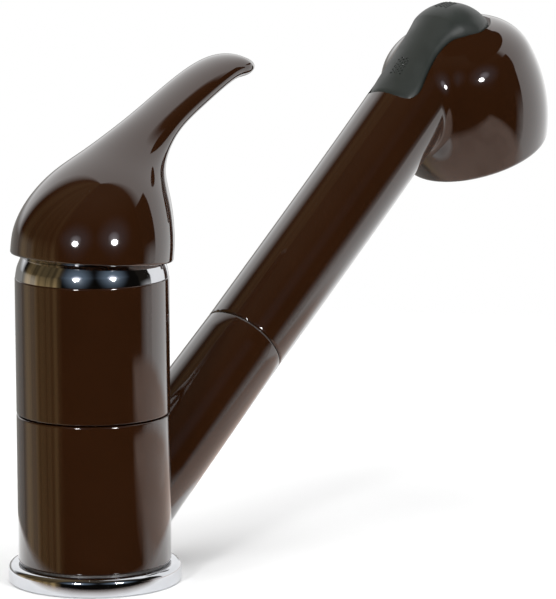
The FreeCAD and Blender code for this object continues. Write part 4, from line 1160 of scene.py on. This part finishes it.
def facing(studio):
    """The plan angle from the tap towards the camera."""
    return math.pi * 1.5 + studio.camera_azimuth


def lamp_way(studio, side):
    """The level direction of one of the two small lamps."""
    return compass(facing(studio) + studio.lamp_turn + side * studio.lamp_spread)


def curved_sheet(middle, rows=30, columns=72, radius=6.0):
    """Points and faces of a globe's inside from low down to its top, its seam opposite the middle."""
    low, high = -80, 90
    vertices, faces = [], []
    for row in range(rows + 1):
        rise = math.radians(low + (high - low) * row / rows)
        for column in range(columns + 1):
            angle = middle + math.pi * (2 * column / columns - 1)
            spot = compass(angle) * radius * math.cos(rise)
            vertices.append((spot.x, spot.y, radius * math.sin(rise)))
    for row in range(rows):
        for column in range(columns):
            start = row * (columns + 1) + column
            faces.append((start, start + columns + 1, start + columns + 2, start + 1))
    return vertices, faces


def room_card(studio):
    """A painted reflection of the dim room before the tap: a large curved card that glows and only the gloss
    shows, dark and warm, with painted brown cupboards to the left and a painted pale halo and bloom about the
    lamps."""
    # Colours of the painted reflection that glows on the card: brown cupboards, grey wall behind and warm ceiling
    cupboard_brown, wall_grey, ceiling_warm = (0.40, 0.28, 0.13), (0.20, 0.19, 0.17), (0.05, 0.04, 0.03)
    painted_halo_blue, painted_bloom_white = (0.15, 0.20, 0.26), (1.0, 1.0, 1.1)
    wall_turn, cupboard_turn = math.radians(140), math.radians(84)
    dark_tone, pale_tone = (*linear("060504"), 1), (*linear("12100E"), 1)
    fade_out, fade_in, streak_scale = 0.10, 0.13, 7.0
    material, tree, surface, place = blank_material("dim_room_card")
    way = add_node(tree, "ShaderNodeVectorMath", [(0, place)], operation="NORMALIZE")
    split = add_node(tree, "ShaderNodeSeparateXYZ", [("Vector", way)])
    rise = split.outputs["Z"]
    flat = add_node(tree, "ShaderNodeCombineXYZ", [("X", split.outputs["X"]), ("Y", split.outputs["Y"])])
    level = add_node(tree, "ShaderNodeVectorMath", [(0, flat)], operation="NORMALIZE")
    towards = facing(studio)
    arc_middle = towards + (CARD_RIGHT - CARD_LEFT) / 2
    edge = math.cos((CARD_RIGHT + CARD_LEFT) / 2)
    inside = toward(tree, level, compass(arc_middle), edge - fade_out, edge + fade_in)
    behind = toward(tree, level, compass(towards - wall_turn), 0.60, 0.70)
    behind = fading(tree, behind, rise, (0.06, 0.20), (0.9, 0.0))
    shown = add_node(tree, "ShaderNodeMath", [(0, inside), (1, behind)], operation="MAXIMUM")
    streaks = add_node(tree, "ShaderNodeTexNoise", [("Vector", level)], Scale=streak_scale, Detail=3.0)
    cupboards = toward(tree, level, compass(towards - cupboard_turn), 0.76, 0.88)
    cupboards = fading(tree, cupboards, streaks, (0.35, 0.65), (0.35, 1.0))
    cupboards = fading(tree, cupboards, rise, (-0.05, 0.30), (1.0, 0.30))
    ceiling = add_node(tree, "ShaderNodeMapRange", [("Value", rise)], From_Min=0.62, From_Max=0.95)
    tones = add_node(tree, "ShaderNodeMix", [("Factor", streaks)], data_type="RGBA",
                     A=dark_tone, B=pale_tone)
    colour = add_light(tree, tones.outputs["Result"], cupboards, cupboard_brown)
    colour = add_light(tree, colour, behind, wall_grey)
    colour = add_light(tree, colour, ceiling, ceiling_warm)
    # A painted halo and bloom about each lamp's direction, glowing on the card, that the gloss shows round the
    # lamps' highlights
    for side in (-1, 1):
        lamp = lamp_way(studio, side) * math.cos(PAINTED_HALO_RISE)
        lamp.z = math.sin(PAINTED_HALO_RISE)
        haze = toward(tree, way, lamp, 0.88, 1.0)
        painted_halo = add_node(tree, "ShaderNodeMath", [(0, haze), (1, haze)], operation="MULTIPLY")
        colour = add_light(tree, colour, painted_halo, painted_halo_blue)
        painted_bloom = toward(tree, way, lamp, 0.990, 1.0)
        colour = add_light(tree, colour, painted_bloom, painted_bloom_white)
    glow = add_node(tree, "ShaderNodeEmission", [("Color", colour)], Strength=1.0)
    clear = add_node(tree, "ShaderNodeBsdfTransparent")
    room = add_node(tree, "ShaderNodeMixShader", [("Fac", shown), (1, clear), (2, glow)])
    tree.links.new(room.outputs["Shader"], surface)
    gloss_card("room_card", *curved_sheet(arc_middle), material)


def dark_flag(name, vertices, thin):
    """A near dark card that only the gloss shows, a painted dark reflection, thinner low down by the given share.
    """
    thin_below, full_above, near_black = 0.02, 0.16, (0.012, 0.010, 0.008, 1)
    material, tree, surface, place = blank_material("dark_flag")
    height = add_node(tree, "ShaderNodeSeparateXYZ", [("Vector", place)]).outputs["Z"]
    dark = add_node(tree, "ShaderNodeEmission", Color=near_black)
    clear = add_node(tree, "ShaderNodeBsdfTransparent")
    shown = add_node(tree, "ShaderNodeMapRange", [("Value", height)], From_Min=thin_below,
                     From_Max=full_above, To_Min=thin)
    flag = add_node(tree, "ShaderNodeMixShader", [("Fac", shown), (1, clear), (2, dark)])
    tree.links.new(flag.outputs["Shader"], surface)
    gloss_card(name, vertices, [range(len(vertices))], material)


def dark_flags(studio):
    """Painted dark reflections that only the gloss shows: the dark edge of the white wall on the right, and a
    small dark card over the bell's crown.
    """
    towards = facing(studio)
    right, ahead = compass(towards + math.pi / 2), compass(towards)
    low, high = -0.4, 0.64
    aside, near_ahead, far_behind = 0.64, 0.16, 0.113
    near, far = right * aside + ahead * near_ahead, right * aside - ahead * far_behind
    corners = ((near, low), (near, high), (far, high), (far, low))
    dark_flag("painted_wall_edge", [(spot.x, spot.y, rise) for spot, rise in corners], 0.25)
    over_bell, forward, half_right, half_ahead = Vector((0.197, -0.0185, 0.216)), 0.018, 0.027, 0.048
    middle = over_bell + ahead * forward
    turns = [math.tau * step / 32 for step in range(32)]
    rim = [middle + right * math.cos(turn) * half_right + ahead * math.sin(turn) * half_ahead
           for turn in turns]
    dark_flag("crown_flag", rim, 1.0)


class TAP_OT_stage(bpy.types.Operator):
    """The floor, the lamps and the camera"""
    bl_idname = "tap.stage"
    bl_label = "Stage"

    def execute(self, context):
        studio = context.scene.tap_studio
        scene = context.scene
        scene.view_settings.view_transform = "Standard"
        scene.world = scene.world or bpy.data.worlds.new("studio")
        white_world(scene.world)
        room_card(studio)
        dark_flags(studio)
        self.floor()
        small_power, top_power, top_size = 9.0, 16.0, 1.4
        for side in (-1, 1):
            place = lamp_way(studio, side) * studio.lamp_distance
            place.z = studio.lamp_height
            self.lamp(f"small_lamp_{side}", place, studio.lamp_size, small_power)
        self.lamp("top_light", Vector((0.1, 0.0, 1.6)), top_size, top_power, gloss=False)
        camera_data = bpy.data.cameras.new("photo_camera")
        camera_data.sensor_width = 36.0
        camera_data.lens = studio.lens
        camera_data.clip_start = 0.05
        camera = new_object("photo_camera", camera_data)
        turn, drop = studio.camera_azimuth, studio.camera_drop
        look = Vector((-math.sin(turn) * math.cos(drop), math.cos(turn) * math.cos(drop), -math.sin(drop)))
        aim(camera, studio.camera_place, Vector(studio.camera_place) + look)
        camera.rotation_euler.rotate_axis("Z", -studio.camera_roll)
        scene.camera = camera
        return {"FINISHED"}

    def lamp(self, name, place, size, power, gloss=True):
        tap_middle = Vector((0.08, 0.0, 0.09))
        data = bpy.data.lights.new(name, "AREA")
        data.shape = "DISK"
        data.size = size
        data.energy = power
        lamp = new_object(name, data)
        lamp.visible_glossy = gloss
        lamp.visible_camera = False
        aim(lamp, place, tap_middle)

    def floor(self):
        """A round white sheet whose edge fades into the white round it. The gloss shows it nearer to the foot
        alone, and before the bell a painted reflection of a warm table top that glows only in the gloss."""
        middle, radius, steps = Vector((0.16, -0.04, 0)), 0.56, 96
        middle.z = FLOOR_DROP
        vertices = [middle] + [middle + compass(2 * math.pi * step / steps) * radius for step in range(steps)]
        faces = [(0, 1 + step, 1 + (step + 1) % steps) for step in range(steps)]
        mesh = plain_mesh("floor", vertices, faces)
        sheet_middle, foot, bell_side = (0.13, 0.04, 0), (0.026, 0.026, 0), (0.09, -0.16, 0)
        table_reflection_way, paper_white, table_reflection_colour = (0.974, 0.225, 0), (0.90, 0.90, 0.90, 1), (0.66, 0.53, 0.47, 1)
        ragged_size = 0.10
        material, tree, surface, place = blank_material("white_paper")

        def away(spot, near, far):
            distance = add_node(tree, "ShaderNodeVectorMath", [(0, place)], operation="DISTANCE")
            distance.inputs[1].default_value = spot
            return add_node(tree, "ShaderNodeMapRange", [("Value", distance.outputs["Value"])],
                            From_Min=near, From_Max=far)

        gloss = add_node(tree, "ShaderNodeLightPath").outputs["Is Glossy Ray"]
        seen = away(sheet_middle, 0.22, 0.38)
        outside = away(foot, 0.066, 0.078)
        ragged = add_node(tree, "ShaderNodeTexNoise", [("Vector", place)], Scale=1 / ragged_size, Detail=4.0)
        # Where the gloss sees the painted warm table reflection, ragged at its edge and gone towards the bell's
        # side
        table_reflection_zone = fading(tree, toward(tree, place, table_reflection_way, 0.0, 0.04), ragged, (0.35, 0.60), (0.75, 1.0))
        table_reflection_zone = fading(tree, table_reflection_zone, away(bell_side, 0.20, 0.26), (0.0, 1.0), (1.0, 0.0))
        hidden = fading(tree, outside, table_reflection_zone, (0.0, 1.0), (1.0, 0.0))
        fade = add_node(tree, "ShaderNodeMix", [("Factor", gloss), ("A", seen), ("B", hidden)])
        paper = add_node(tree, "ShaderNodeBsdfDiffuse", Color=paper_white)
        # The painted warm table reflection: the sheet glows warm in the gloss, outside the foot
        table_reflection_glow = add_node(tree, "ShaderNodeEmission", Color=table_reflection_colour)
        table_reflection_share = add_node(tree, "ShaderNodeMath", [(0, gloss), (1, outside)], operation="MULTIPLY")
        sheet = add_node(tree, "ShaderNodeMixShader", [("Fac", table_reflection_share), (1, paper), (2, table_reflection_glow)])
        clear = add_node(tree, "ShaderNodeBsdfTransparent")
        faded = add_node(tree, "ShaderNodeMixShader", [("Fac", fade), (1, sheet), (2, clear)])
        tree.links.new(faded.outputs["Shader"], surface)
        mesh.materials.append(material)
        new_object("floor", mesh)


OPERATORS = (TAP_OT_finishes, TAP_OT_upper_body, TAP_OT_base_flange, TAP_OT_dome, TAP_OT_swivel_spout,
             TAP_OT_lever, TAP_OT_handset, TAP_OT_rocker, TAP_OT_dots, TAP_OT_inner_pieces, TAP_OT_stage)


class TAP_PT_panel(bpy.types.Panel):
    """Lists the tap's pieces"""
    bl_idname = "TAP_PT_panel"
    bl_label = "Mixer tap"
    bl_space_type = "VIEW_3D"
    bl_region_type = "UI"
    bl_category = "Tap"

    def draw(self, context):
        for operator in OPERATORS:
            self.layout.operator(operator.bl_idname)


GROUPS = (("tap_finish", TapFinish), ("tap_form", TapForm), ("tap_studio", TapStudio))


def register():
    for name, group in GROUPS:
        bpy.utils.register_class(group)
        setattr(bpy.types.Scene, name, bpy.props.PointerProperty(type=group))
    for item in OPERATORS + (TAP_PT_panel,):
        bpy.utils.register_class(item)


def unregister():
    for item in reversed(OPERATORS + (TAP_PT_panel,)):
        bpy.utils.unregister_class(item)
    for name, group in reversed(GROUPS):
        delattr(bpy.types.Scene, name)
        bpy.utils.unregister_class(group)


def main():
    register()
    for operator in OPERATORS:
        group, name = operator.bl_idname.split(".")
        getattr(getattr(bpy.ops, group), name)()


if __name__ == "__main__":
    main()
